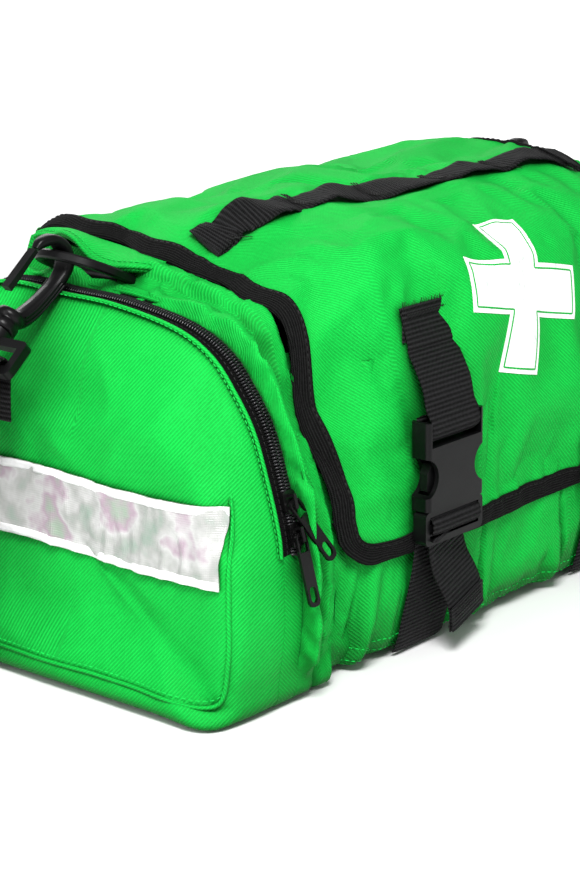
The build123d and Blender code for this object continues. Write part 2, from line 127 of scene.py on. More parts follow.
def field(p, size, seed, stretch=(1, 1, 1), octaves=2):
    """Smooth noise from -1 to 1 at each point, with features about size millimetres across."""
    flat = p.reshape(-1, 3) / (size * np.array(stretch)) + seed * 17.3
    out = [noise.fractal(Vector(v), 0.8, 2.1, octaves) for v in flat]
    return np.array(out).reshape(p.shape[:-1])


def folds(p, size, seed, stretch=(1, 1, 1)):
    """Sharp-crested folds from 0 to 1."""
    return (1 - np.clip(np.abs(field(p, size, seed, stretch)) * 1.6, 0, 1)) ** 2.2


# ---- building meshes --------------------------------------------------------------------------------
class Build:
    """Collects parts of one piece and turns them into an object."""

    def __init__(self, name):
        self.name, self.v, self.f, self.uv, self.m, self.mats, self.n = name, [], [], [], [], [], 0

    def _material(self, mat):
        if mat not in self.mats:
            self.mats.append(mat)
        return self.mats.index(mat)

    def grid(self, p, uv, mat, flip=False):
        quads = quads_of(*p.shape[:2])
        if flip:
            quads = quads[:, ::-1]
        self.v.append(p.reshape(-1, 3))
        self.f.extend((quads + self.n).tolist())
        self.uv.append(uv.reshape(-1, 2)[quads.reshape(-1)])
        self.m.extend([self._material(mat)] * len(quads))
        self.n += p.shape[0] * p.shape[1]

    def sheet(self, p, thick, mat, uv=None, wrap=False, back=None):
        """Cloth: a grid of points on its outer face, given thickness inwards."""
        n = normals(p, wrap)
        if uv is None:
            uv = grid_uv(p)
        inner = p - n * thick
        self.grid(p, uv, mat)
        self.grid(inner, uv, back or mat, flip=True)
        edges = [(p[0], inner[0], uv[0], True), (p[-1], inner[-1], uv[-1], False)]
        if not wrap:
            edges.append((p[:, 0], inner[:, 0], uv[:, 0], False))
            edges.append((p[:, -1], inner[:, -1], uv[:, -1], True))
        for top, low, edge_uv, flip in edges:
            rim = np.stack([top, low], axis=0)
            self.grid(rim, np.stack([edge_uv, edge_uv + 0.4], axis=0), mat, flip=not flip)
        return self

    def ribbon(self, path, side, width, thick, mat, across=8):
        """Flat webbing along path, whose width runs along side (one direction, or one per point)."""
        path = np.array(path, float)
        side = unit(np.broadcast_to(np.array(side, float), path.shape))
        up = unit(np.cross(unit(np.gradient(path, axis=0)), side))
        w, h = width / 2, thick / 2
        top = [(s, h * (1 - max(0, abs(s) - 0.9) * 6)) for s in np.linspace(-1, 1, across)]
        loop = [(s * w, z) for s, z in top] + [(s * w, -z) for s, z in top[::-1]]
        loop.append(loop[0])
        loop = np.array(loop)
        p = path[:, None] + side[:, None] * loop[None, :, :1] + up[:, None] * loop[None, :, 1:]
        run = lengths(path)
        u = np.where(np.arange(len(loop)) < across, loop[:, 0], loop[:, 0] + 60)
        uv = np.stack(np.meshgrid(run, u, indexing="ij")[::-1], axis=-1)
        self.grid(p, uv, mat, flip=True)
        for end, flip in ((0, False), (-1, True)):
            half = len(top)
            cap = np.stack([p[end, :half], p[end, half:2 * half][::-1]], axis=0)
            self.grid(cap, np.stack([uv[end, :half], uv[end, :half] + 0.5], axis=0), mat, flip=flip)
        return self

    def tube(self, path, radius, mat, around=8):
        """A round bar or cord along path, of one radius or one for each point, with closed ends."""
        path = np.array(path, float)
        along = unit(np.gradient(path, axis=0))
        ref = np.array([0.0, 0.0, 1.0]) if abs(along[0, 2]) < 0.9 else np.array([1.0, 0.0, 0.0])
        sides = []
        for t in along:
            ref = ref - t * np.dot(ref, t)
            ref /= np.linalg.norm(ref)
            sides.append(ref)
        a = np.array(sides)
        b = np.cross(along, a)
        turn_by = np.linspace(0, 2 * math.pi, around + 1)
        r = np.broadcast_to(np.array(radius, float).reshape(-1, 1, 1), (len(path), 1, 1))
        circle = a[:, None] * np.cos(turn_by)[None, :, None] + b[:, None] * np.sin(turn_by)[None, :, None]
        p = path[:, None] + r * circle
        uv = np.stack(np.meshgrid(lengths(path), turn_by, indexing="ij")[::-1], axis=-1)
        self.grid(p, uv, mat, flip=True)
        for end in (0, -1):
            cap = np.stack([p[end], np.broadcast_to(path[end], p[end].shape)], axis=0)
            self.grid(cap, np.stack([uv[end], uv[end]], axis=0), mat, flip=end == -1)
        return self

    def stitches(self, path, up, mat, pitch=3.2, length=2.3, radius=0.28):
        """A row of thread stitches lying on the cloth along path."""
        path = np.array(path, float)
        total = lengths(path)[-1]
        count = max(2, int(total / pitch))
        where = (np.arange(count) + 0.5) * total / count
        mid = resample(path, where)
        after, before = (resample(path, np.clip(where + d, 0, total)) for d in (0.4, -0.4))
        ahead = unit(after - before)
        up = np.broadcast_to(up, path.shape)
        lift = unit(np.stack([np.interp(where, lengths(path), up[:, k]) for k in range(3)], axis=1))
        sink = 0.05
        side = np.cross(ahead, lift)
        for c, a, s, l in zip(mid, ahead, side, lift):
            ring = []
            for t, r in ((-0.5, 0.15), (-0.32, 0.9), (0.0, 1.0), (0.32, 0.9), (0.5, 0.15)):
                turns = np.linspace(0, 2 * math.pi, 6)
                bow = (1 - (2 * t) ** 2) * 0.25
                ring.append(c + a * length * t + l * (radius * bow - sink)
                            + radius * r * (np.cos(turns)[:, None] * s + np.sin(turns)[:, None] * l))
            self.grid(np.array(ring), np.zeros((5, 6, 2)), mat, flip=True)
        return self

    def make(self, body=None, stands_for=(), slot=None):
        """The finished object, on its body, in place of the CAD nodes it stands for."""
        v = np.vstack(self.v) * MM
        mesh = bpy.data.meshes.new(self.name)
        mesh.from_pydata(v.tolist(), [], self.f)
        mesh.polygons.foreach_set("material_index", self.m)
        mesh.polygons.foreach_set("use_smooth", [True] * len(self.f))
        layer = mesh.uv_layers.new(name="mm")
        layer.data.foreach_set("uv", np.vstack(self.uv).astype(np.float32).ravel())
        for m in self.mats:
            mesh.materials.append(m)
        mesh.update()
        obj = bpy.data.objects.new(self.name, mesh)
        bpy.context.scene.collection.objects.link(obj)
        if body:
            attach(obj, body)
        if stands_for:
            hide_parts(*stands_for)
        return obj


def grid_uv(p):
    """Millimetres along and across a grid, for weaves."""
    down, over = (np.linalg.norm(np.diff(p, axis=k), axis=2) for k in (0, 1))
    u = np.concatenate([np.zeros((1, p.shape[1])), np.cumsum(down, axis=0)])
    v = np.concatenate([np.zeros((p.shape[0], 1)), np.cumsum(over, axis=1)], axis=1)
    return np.stack([u.mean(axis=1)[:, None] + 0 * u, v - v[:, :1]], axis=-1)


def settle(p, pinned, grow=0.03, cap=6.0, frames=16):
    """Lets a grid of cloth buckle between its pinned seams, with Blender's cloth simulation."""
    scale = MM * 10     # ten times life size, which the simulation handles best
    mesh = bpy.data.meshes.new("settling")
    mesh.from_pydata((p.reshape(-1, 3) * scale).tolist(), [], quads_of(*p.shape[:2]).tolist())
    obj = bpy.data.objects.new("settling", mesh)
    bpy.context.scene.collection.objects.link(obj)
    group = obj.vertex_groups.new(name="pinned")
    group.add(np.nonzero(pinned.reshape(-1))[0].tolist(), 1.0, "REPLACE")
    cloth = obj.modifiers.new("cloth", "CLOTH")
    s = cloth.settings
    s.vertex_group_mass = "pinned"
    s.quality = 6
    s.mass = 0.3
    s.tension_stiffness = s.compression_stiffness = 15
    s.shear_stiffness = 6
    s.bending_stiffness = 1.2
    s.shrink_min = -grow
    s.effector_weights.gravity = 0
    scene = bpy.context.scene
    cloth.point_cache.frame_end = frames
    for k in range(1, frames + 1):
        scene.frame_set(k)
    done = obj.evaluated_get(bpy.context.evaluated_depsgraph_get()).to_mesh()
    out = np.array([v.co for v in done.vertices]).reshape(p.shape) / scale
    bpy.data.objects.remove(obj)
    scene.frame_set(1)
    move = out - p
    size = np.linalg.norm(move, axis=2, keepdims=True)
    return p + move * np.minimum(1, cap / np.maximum(size, 1e-6))


class Patch:
    """A grid over (a, b) in millimetres, for laying trim on the cloth's final surface."""

    def __init__(self, p, a, b):
        self.p, self.a, self.b, self.n = p, np.array(a, float), np.array(b, float), normals(p)

    def at(self, a, b, lift=0.0):
        """Points lift above the surface and the normals there; b runs from 0 to the grid's length at a."""
        a, b = np.broadcast_arrays(np.array(a, float), np.array(b, float))
        i = np.interp(a, self.a, np.arange(len(self.a)))
        rows = self.b.shape[1]
        i0 = np.clip(np.floor(i).astype(int), 0, len(self.a) - 2)
        fi = i - i0
        span = self.b[i0, -1] * (1 - fi) + self.b[i0 + 1, -1] * fi
        j = np.clip(b / span, 0, 1) * (rows - 1)
        j0 = np.clip(np.floor(j).astype(int), 0, rows - 2)
        fj = (j - j0)[..., None]
        fi = fi[..., None]

        def mix(g):
            return ((g[i0, j0] * (1 - fj) + g[i0, j0 + 1] * fj) * (1 - fi)
                    + (g[i0 + 1, j0] * (1 - fj) + g[i0 + 1, j0 + 1] * fj) * fi)
        n = mix(self.n)
        return mix(self.p) + n * np.broadcast_to(lift, a.shape)[..., None], n


# ---- materials --------------------------------------------------------------------------------------
class Nodes:
    """A principled material and short names for the nodes that feed it."""

    def __init__(self, name, rough=0.6, **sockets):
        self.mat = bpy.data.materials.new(name)
        self.mat.use_nodes = True
        self.tree = self.mat.node_tree
        self.shader = self.tree.nodes["Principled BSDF"]
        self.shader.inputs["Roughness"].default_value = rough
        for k, value in sockets.items():
            self.shader.inputs[k.replace("_", " ")].default_value = value

    def add(self, kind, inputs=(), **values):
        node = self.tree.nodes.new(kind)
        for k, value in values.items():
            setattr(node, k, value)
        for key, value in inputs:
            if isinstance(value, bpy.types.NodeSocket):
                self.tree.links.new(value, node.inputs[key])
            else:
                node.inputs[key].default_value = value
        return node

    def math(self, op, a, b=0.0, c=0.0):
        return self.add("ShaderNodeMath", ((0, a), (1, b), (2, c)), operation=op).outputs[0]

    def uv(self):
        uv = self.add("ShaderNodeUVMap", uv_map="mm").outputs[0]
        split = self.add("ShaderNodeSeparateXYZ", ((0, uv),))
        return split.outputs[0], split.outputs[1]

    def where(self, scale):
        at = self.add("ShaderNodeTexCoord").outputs["Object"]
        return self.add("ShaderNodeVectorMath", ((0, at), (3, scale)), operation="SCALE").outputs[0]

    def noise(self, scale, detail=2.0, vector=None):
        coord = vector or self.where(1.0)
        inputs = (("Vector", coord), ("Scale", scale), ("Detail", detail))
        return self.add("ShaderNodeTexNoise", inputs).outputs[0]

    def ramp(self, fac, stops):
        node = self.add("ShaderNodeValToRGB", ((0, fac),))
        e = node.color_ramp.elements
        while len(e) < len(stops):
            e.new(0.5)
        for k, (pos, colour) in enumerate(stops):
            e[k].position = pos
            e[k].color = (*colour, 1)
        return node.outputs[0]

    def colour(self, socket):
        self.tree.links.new(socket, self.shader.inputs["Base Color"])
        return self

    def rough(self, socket):
        self.tree.links.new(socket, self.shader.inputs["Roughness"])
        return self

    def bump(self, height, strength, distance):
        b = self.add("ShaderNodeBump", (("Height", height), ("Strength", strength), ("Distance", distance)))
        self.tree.links.new(b.outputs[0], self.shader.inputs["Normal"])
        return self

    def range(self, value, low, high, to_low, to_high):
        inputs = ((0, value), (1, low), (2, high), (3, to_low), (4, to_high))
        return self.add("ShaderNodeMapRange", inputs).outputs[0]


def wave(n, value, pitch, phase=0.0):
    return n.math("SINE", n.math("MULTIPLY_ADD", value, 2 * math.pi / pitch, phase))


def weave(name, dark, light, pitch, rough, strength, sheen=0.0):
    """Oxford cloth: a diagonal basket of threads, with slow variation in colour, and painted shade that darkens
    the colour in the hollows of folds.
    """
    n = Nodes(name, rough, Sheen_Weight=sheen, Specular_IOR_Level=0.14)
    u, v = n.uv()
    diagonal = wave(n, n.math("ADD", u, v), pitch)
    cross = n.math("MULTIPLY", wave(n, u, pitch * 0.5), wave(n, v, pitch * 0.5))
    height = n.math("MULTIPLY_ADD", cross, 0.25, diagonal)
    slow = n.noise(28.0, 3.0)
    fine = n.noise(900.0, 2.0)
    tone = n.math("ADD", n.range(height, -1.25, 1.25, 0.2, 0.8), n.math("MULTIPLY_ADD", fine, 0.5, -0.25))
    tone = n.math("ADD", tone, n.math("MULTIPLY_ADD", slow, 0.5, -0.25))
    # painted shade: ambient occlusion darkens the cloth's colour in the hollows of folds
    painted_fold_shade_ao = n.add("ShaderNodeAmbientOcclusion", (("Distance", 0.04),), samples=6).outputs["AO"]
    shade = n.range(painted_fold_shade_ao, 0.35, 0.92, 0.0, 1.0)
    tone = n.math("MULTIPLY", n.range(tone, 0.0, 1.0, 0.35, 1.0), n.range(shade, 0.0, 1.0, 0.2, 1.0))
    # painted shade: the darkest colour stop, reached where the occlusion shade is strongest in the hollows of
    # folds
    deep = tuple(c * 0.22 for c in dark)
    n.colour(n.ramp(tone, ((0.0, deep), (0.38, dark), (1.0, light))))
    n.bump(height, strength, 0.0004)
    return n.mat


def webbing(name, dark, light, rib, rough=0.55):
    """Ribbed black webbing: ribs across, with herringbone threads between woven edges."""
    n = Nodes(name, rough, Specular_IOR_Level=0.06)
    u, v = n.uv()
    rib_wave = wave(n, v, rib)
    thread = wave(n, n.math("ADD", u, n.math("MULTIPLY", v, 0.5)), 1.1)
    height = n.math("MULTIPLY_ADD", thread, 0.35, rib_wave)
    fuzz = n.noise(700.0, 2.0)
    tone = n.math("ADD", n.range(height, -1.3, 1.3, 0.0, 0.8), n.math("MULTIPLY_ADD", fuzz, 0.5, -0.2))
    n.colour(n.ramp(tone, ((0.0, dark), (1.0, light))))
    n.bump(height, 0.7, 0.0006)
    return n.mat


def plastic(name, colour, rough, grain=0.15, coat=0.0):
    """Moulded plastic with a fine satin texture and rubbed patches."""
    n = Nodes(name, rough, Coat_Weight=coat, Specular_IOR_Level=0.18)
    worn = n.noise(60.0, 4.0)
    n.colour(n.ramp(worn, ((0.3, colour), (0.8, tuple(c * 1.8 + 0.001 for c in colour)))))
    n.rough(n.range(worn, 0.3, 0.7, rough - 0.08, rough + 0.1))
    n.bump(n.noise(1500.0, 1.0), grain, 0.0002)
    return n.mat


GREEN = weave("green_oxford", (0.0010, 0.27, 0.026), (0.0045, 0.60, 0.068), 2.1, 0.68, 0.42)
LINING = weave("green_back", (0.001, 0.16, 0.015), (0.004, 0.36, 0.04), 1.3, 0.75, 0.4)
GREY = weave("grey_lining", (0.05, 0.05, 0.055), (0.13, 0.13, 0.14), 1.0, 0.75, 0.4)
BINDING = webbing("black_twill", (0.0008, 0.0008, 0.0008), (0.018, 0.018, 0.018), 1.4, 0.8)
WEBBING = webbing("black_webbing", (0.0006, 0.0006, 0.0006), (0.026, 0.026, 0.027), 2.3, 0.62)
TAPE = webbing("zip_tape", (0.001, 0.001, 0.001), (0.010, 0.010, 0.010), 1.0, 0.75)
THREAD = plastic("black_thread", (0.006, 0.006, 0.006), 0.5, 0.3)
GREEN_THREAD = plastic("green_thread", (0.004, 0.40, 0.05), 0.6, 0.3)
WHITE_THREAD = plastic("white_thread", (0.75, 0.75, 0.75), 0.5, 0.3)
ACETAL = plastic("black_acetal", (0.0015, 0.0015, 0.0017), 0.36)
COIL = plastic("coil_nylon", (0.010, 0.010, 0.011), 0.20, 0.05)
ENAMEL = plastic("black_enamel", (0.002, 0.002, 0.002), 0.28, 0.05, 0.3)
BOARD = plastic("black_board", (0.03, 0.03, 0.03), 0.6, 0.5)


def print_ink():
    n = Nodes("white_print", 0.5)
    u, v = n.uv()
    crack = n.noise(260.0, 3.0)
    n.colour(n.ramp(crack, ((0.25, (0.60, 0.66, 0.62)), (0.42, (0.90, 0.91, 0.90)))))
    height = n.math("MULTIPLY", wave(n, n.math("ADD", u, v), 1.3), 1.0)
    n.bump(height, 0.2, 0.0003)
    return n.mat


def pearl():
    """Retroreflective tape: pearly white, with pink and green tints in noise patches painted in for the tape's
    iridescent reflection.
    """
    n = Nodes("pearl_tape", 0.34, Metallic=0.25, Coat_Weight=0.5, Coat_Roughness=0.2)
    painted_iridescence_patches = n.noise(46.0, 3.0)
    # painted reflection: the pink and green stops stand in for the tape's iridescence; the pearly white is the
    # tape's own colour
    n.colour(n.ramp(painted_iridescence_patches, ((0.30, (0.28, 0.38, 0.31)), (0.42, (0.42, 0.43, 0.41)),
                              (0.52, (0.60, 0.60, 0.59)),
                              (0.60, (0.44, 0.33, 0.40)), (0.70, (0.34, 0.43, 0.34)))))
    u, v = n.uv()
    cells = n.math("MULTIPLY", wave(n, n.math("ADD", u, v), 2.2), wave(n, n.math("SUBTRACT", u, v), 2.2))
    n.bump(n.math("MULTIPLY_ADD", n.noise(120.0, 2.0), 4.0, cells), 0.25, 0.0004)
    return n.mat


INK = print_ink()
PEARL = pearl()
for node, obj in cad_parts.items():
    look = None
    if node.startswith(("buckle_socket", "buckle_plug", "buckle_prong", "snap_hook", "hook_", "strap_adjuster",
                        "d_ring")):
        look = ACETAL
    elif node.startswith("zip_"):
        look = ENAMEL
    elif node == "base_board":
        look = BOARD
    elif node.startswith("divider"):
        look = GREY
    if look:
        for held in obj.material_slots:
            held.material = look


# ---- flap -------------------------------------------------------------------------------------------
FLAP_HALF, HEM_Z, HEM_R = 146.0, 57.0, 25.0
STRAP_X = 78.0
FLAP_MID = [(92, 199), (60, 207), (10, 211), (-34, 211), (-60, 207), (-80, 199), (-94, 187), (-102, 171),
            (-107, 152), (-110.4, 128), (-111.8, 100), (-111.8, 80), (-111.2, 57), (-108.5, 28), (-103.5, 8),
            (-98, 0.8)]
FLAP_LEFT = [(92, 200), (72, 205), (37, 202), (10, 198), (-22, 192), (-47, 187), (-66, 181), (-76, 165),
             (-84, 138), (-94, 114), (-103, 86), (-106.5, 57), (-105.5, 28), (-102, 8), (-97, 0.8)]
FLAP_RIGHT = [(92, 200), (62, 209), (20, 215), (-20, 215), (-48, 206), (-70, 193), (-84, 176), (-94, 150),
              (-100, 126), (-104, 100), (-107, 80), (-108.5, 57), (-106, 28), (-102, 8), (-97, 0.8)]
LINES = [spline(c, 320) for c in (FLAP_MID, FLAP_LEFT, FLAP_RIGHT)]


def body_line(x, inset=0.0):
    """The flap's section at x, from its back edge over the top and down the front to the base, as (y, z)."""
    mid, left, right = LINES
    w = smooth(70, FLAP_HALF, abs(x)) ** 1.25
    line = mid * (1 - w) + (left if x < 0 else right) * w
    line[:, 1] += 4.0 * smooth(-60, 90, x) * smooth(120, 190, line[:, 1]) * (1 - w)
    if inset:
        t = unit(np.gradient(line, axis=0))
        line = line + np.stack([-t[:, 1], t[:, 0]], axis=1) * inset
    return line


def flap_columns():
    """The flap's grid, one column of points from back to hem for each x, and the columns' lengths with and
    without the rounding of its lower corners."""
    xs = np.linspace(-FLAP_HALF, FLAP_HALF, 118)
    rows = 130
    out, cut, full = np.zeros((len(xs), rows, 3)), [], []
    for i, x in enumerate(xs):
        line = body_line(x)
        run = lengths(line)
        over = max(0.0, abs(x) - (FLAP_HALF - HEM_R))
        rise = HEM_R - math.sqrt(max(0.0, HEM_R ** 2 - over ** 2))
        front = np.argmax(line[:, 0] < -70)
        end = np.interp(-(HEM_Z), -line[front:, 1], run[front:])
        out[i, :, 0] = x
        out[i, :, 1:] = resample(line, np.linspace(0, end - rise, rows))
        cut.append(end - rise)
        full.append(end)
    return xs, out, np.array(cut), np.array(full)


xs, flap, reach, full_reach = flap_columns()
fn = normals(flap)
fn *= np.sign(fn[60, 20, 2])
edge_far = np.minimum(smooth(0, 26, FLAP_HALF - np.abs(flap[..., 0])), 1)
loose = 0.35 + 0.65 * edge_far
front_face = smooth(150, 190, flap[..., 2])
lift = -2.2 * (1 - smooth(0, 9, FLAP_HALF - np.abs(flap[..., 0])))
lift += (3.2 * field(flap, 70, 1) + 1.8 * field(flap, 30, 2, (1, 1, 2.2))) * loose
lift += 2.8 * (folds(flap, 60, 3, (2.2, 1.0, 0.8)) - 0.3) * loose * front_face
# The cloth is drawn in where the two straps pull it, and hollows between the handle and the edge.
for bx in (-STRAP_X, STRAP_X):
    near = np.exp(-((flap[..., 0] - bx) / 22) ** 2) * np.exp(-((flap[..., 2] - 172) / 14) ** 2)
    lift -= 2.0 * near * (flap[..., 1] < -60)
flap = flap + fn * lift[..., None]
ripple = 2.2 * np.sin(flap[..., 1] / 10.0 + flap[..., 2] / 19.0) + 1.6 * np.sin(flap[..., 1] / 5.7 + 1.3)
flap[..., 0] += ripple * (1 - edge_far) * smooth(60, 90, flap[..., 2])
pins = np.zeros(flap.shape[:2], bool)
pins[0], pins[-1], pins[:, 0], pins[:, -1] = True, True, True, True
for bx in (-STRAP_X, STRAP_X):
    pins |= (np.abs(flap[..., 0] - bx) < 20) & (flap[..., 1] < -90) & (flap[..., 2] < 175)
pins |= (np.abs(flap[..., 1] + 34) < 19) & (np.abs(flap[..., 0]) < 133) & (flap[..., 2] > 150)
flap = settle(flap, pins, grow=0.022, cap=4.5)
flap_at = Patch(flap, xs, np.linspace(0, 1, flap.shape[1])[None, :] * reach[:, None])
SIGN = np.sign(flap_at.n[60, 20, 2])
flap_at.n *= SIGN
FLIP = flap[:, ::-1] if SIGN < 0 else flap
skin = Build("flap_cloth").sheet(FLIP, 1.8, GREEN, back=LINING)


def hem_line(inset, step=2.0):
    """(x, distance from the back edge) along the flap's border, inset from it."""
    half, r = FLAP_HALF - inset, HEM_R - inset
    hem = []
    for x in np.append(np.arange(-half, half, step), half):
        over = max(0.0, abs(x) - (FLAP_HALF - HEM_R))
        rise = r - math.sqrt(max(0.0, r ** 2 - over ** 2))
        hem.append((x, np.interp(x, xs, full_reach) - inset - rise))
    left = [(-half, v) for v in np.arange(0, hem[0][1] - 1, step)]
    right = [(half, v) for v in np.arange(0, hem[-1][1] - 1, step)]
    return np.array(left + hem + right[::-1])


def along_flap(line, lift):
    line = resample(np.array(line, float), max(8, int(lengths(np.array(line, float))[-1] / 2.0)))
    return flap_at.at(line[:, 0], line[:, 1], lift)


BIND_W = 10.0
rows = []
count = 420
for inset in (0.2, 0.6, 2.0, 4.0, 6.0, 8.0, BIND_W - 0.5, BIND_W):
    line = resample(hem_line(inset), count)
    height = 0.2 if inset >= BIND_W else (1.1 if inset > 0.3 else 0.5)
    rows.append(flap_at.at(line[:, 0], line[:, 1], height)[0])
top = np.array(rows)
beyond = top[0] - top[2]
beyond /= np.linalg.norm(beyond, axis=1, keepdims=True)
top[0] += beyond * 1.0
top[1] += beyond * 0.7
n = flap_at.at(resample(hem_line(0.2), count)[:, 0], resample(hem_line(0.2), count)[:, 1], 0)[1]
under = [top[0] - n * 1.0, top[0] - n * 2.6, top[2] - n * 3.2, top[4] - n * 3.2]
loop = np.concatenate([np.array(under[::-1]), top])
grid = loop if np.cross(loop[6, 11] - loop[6, 10], loop[7, 10] - loop[6, 10]) @ n[10] < 0 else loop[:, ::-1]
bind = Build("flap_binding_tape")
bind.grid(grid, grid_uv(grid)[..., ::-1], BINDING, flip=False)
line = hem_line(BIND_W - 1.8)
seam, seam_n = along_flap(line, 1.15)
bind.stitches(seam, seam_n, THREAD, pitch=3.6, length=2.6, radius=0.32)
bind.make("flap", ["flap_binding"], "black_binding")
skin_obj = skin.make("flap", ["main_flap"], "green_nylon")

# Emblem: a plain first-aid cross with a thin green line inside its edge.
CROSS_ARM, CROSS_SPAN, CROSS_TURN = 27.0, 84.0, math.radians(-14)


def flap_uv_of(x, z):
    """Distance from the back edge at which the flap's front has height z."""
    i = int(np.interp(x, xs, np.arange(len(xs))))
    col = flap[i]
    front = np.argmax(col[:, 1] < -62)
    zz = col[front:, 2]
    j = front + np.argmin(np.abs(zz - z))
    return j / (flap.shape[1] - 1) * reach[i]


def cross_outline(grow):
    a, s = CROSS_ARM / 2 + grow, CROSS_SPAN / 2 + grow
    quarter = [(-a, -s), (a, -s), (a, -a)]
    turned = [(-y, x) for x, y in quarter]
    return quarter + turned + [(-x, -y) for x, y in quarter] + [(-x, -y) for x, y in turned]


centre_v = flap_uv_of(0, 170)
emblem = Build("flap_cross")


def cross_point(x, y, lift):
    c, s = math.cos(CROSS_TURN), math.sin(CROSS_TURN)
    return flap_at.at(x * c - y * s, centre_v - (x * s + y * c), lift)[0]


for u0, u1, v0, v1 in ((-CROSS_SPAN / 2, CROSS_SPAN / 2, -CROSS_ARM / 2, CROSS_ARM / 2),
                       (-CROSS_ARM / 2, CROSS_ARM / 2, CROSS_ARM / 2, CROSS_SPAN / 2),
                       (-CROSS_ARM / 2, CROSS_ARM / 2, -CROSS_SPAN / 2, -CROSS_ARM / 2)):
    ticks = [np.linspace(a, b, int((b - a) / 1.5) + 2) for a, b in ((u0, u1), (v0, v1))]
    uu, vv = np.meshgrid(*ticks, indexing="ij")
    p = cross_point(uu, vv, 0.35)
    emblem.sheet(p, 0.45, INK, uv=np.stack([uu, vv], axis=-1))
inner = np.array(cross_outline(-2.6) + [cross_outline(-2.6)[0]])
inner = resample(inner, 300)
path = cross_point(inner[:, 0], inner[:, 1], 0.42)
across = np.gradient(path, axis=0)
ns = flap_at.at(inner[:, 0], centre_v - inner[:, 1], 0)[1]
emblem.ribbon(path, np.cross(across, ns), 0.9, 0.25, GREEN, across=3)
emblem.make("flap", ["flap_emblem"], "white_print")

# Carry handle, sewn down at bar tacks and standing slightly proud between them.
HANDLE_Y, HANDLE_HALF = -34.0, 137.0


def flap_v_at_y(x, y):
    i = int(np.interp(x, xs, np.arange(len(xs))))
    col = flap[i]
    j = np.argmax(col[:, 1] < y)
    return j / (flap.shape[1] - 1) * reach[i]


xh = np.linspace(8 - HANDLE_HALF, HANDLE_HALF - 6, 150)
skew = np.interp(xh, [-137, 137], [28, -9])
vh = np.array([flap_v_at_y(x, HANDLE_Y + s) for x, s in zip(xh, skew)])
kernel = np.ones(9) / 9
vh = np.convolve(np.pad(vh, 4, mode="edge"), kernel, "valid")
tacks = (-118, -70, -22, 26, 72, 116)
puff = np.min([1 - np.exp(-((xh - t) / 9) ** 2) for t in tacks], axis=0)
handle_w = 21.0
path, pn = flap_at.at(xh, vh, 1.4 + 1.5 * puff)
side = np.cross(np.gradient(path, axis=0), pn)
handle = Build("handle_webbing").ribbon(path, side, handle_w, 1.7, WEBBING)
for t in tacks:
    for dx in (-1.6, 0, 1.6):
        line_v = np.linspace(-handle_w / 2 + 1.5, handle_w / 2 - 1.5, 12)
        base = np.interp(t + dx, xh, vh)
        at, tn = flap_at.at(np.full(12, t + dx), base + line_v, 2.5)
        handle.stitches(at, tn, THREAD, pitch=1.7, length=1.9, radius=0.36)
    # loose thread tails
    along, down, high = np.array([(0, 8.0, 2.6), (3.0, 12.0, 3.2), (7.0, 14.5, 1.0)]).T
    at, tn = flap_at.at(t + along, np.interp(t, xh, vh) + down, high)
    handle.tube(at, 0.2, THREAD, around=5)
for end, s in ((xh[0], 1), (xh[-1], -1)):
    at, tn = flap_at.at(np.linspace(end + s * 0.6, end + s * 15, 10), np.interp(end, xh, vh), 3.4)
    handle.ribbon(at, np.cross(np.gradient(at, axis=0), tn), handle_w - 0.6, 1.4, WEBBING)
handle.make("flap", ["carry_handle"], "black_webbing")


# ---- straps at the buckles --------------------------------------------------------------------------
def web_path(points, count=60):
    return spline(points, count)


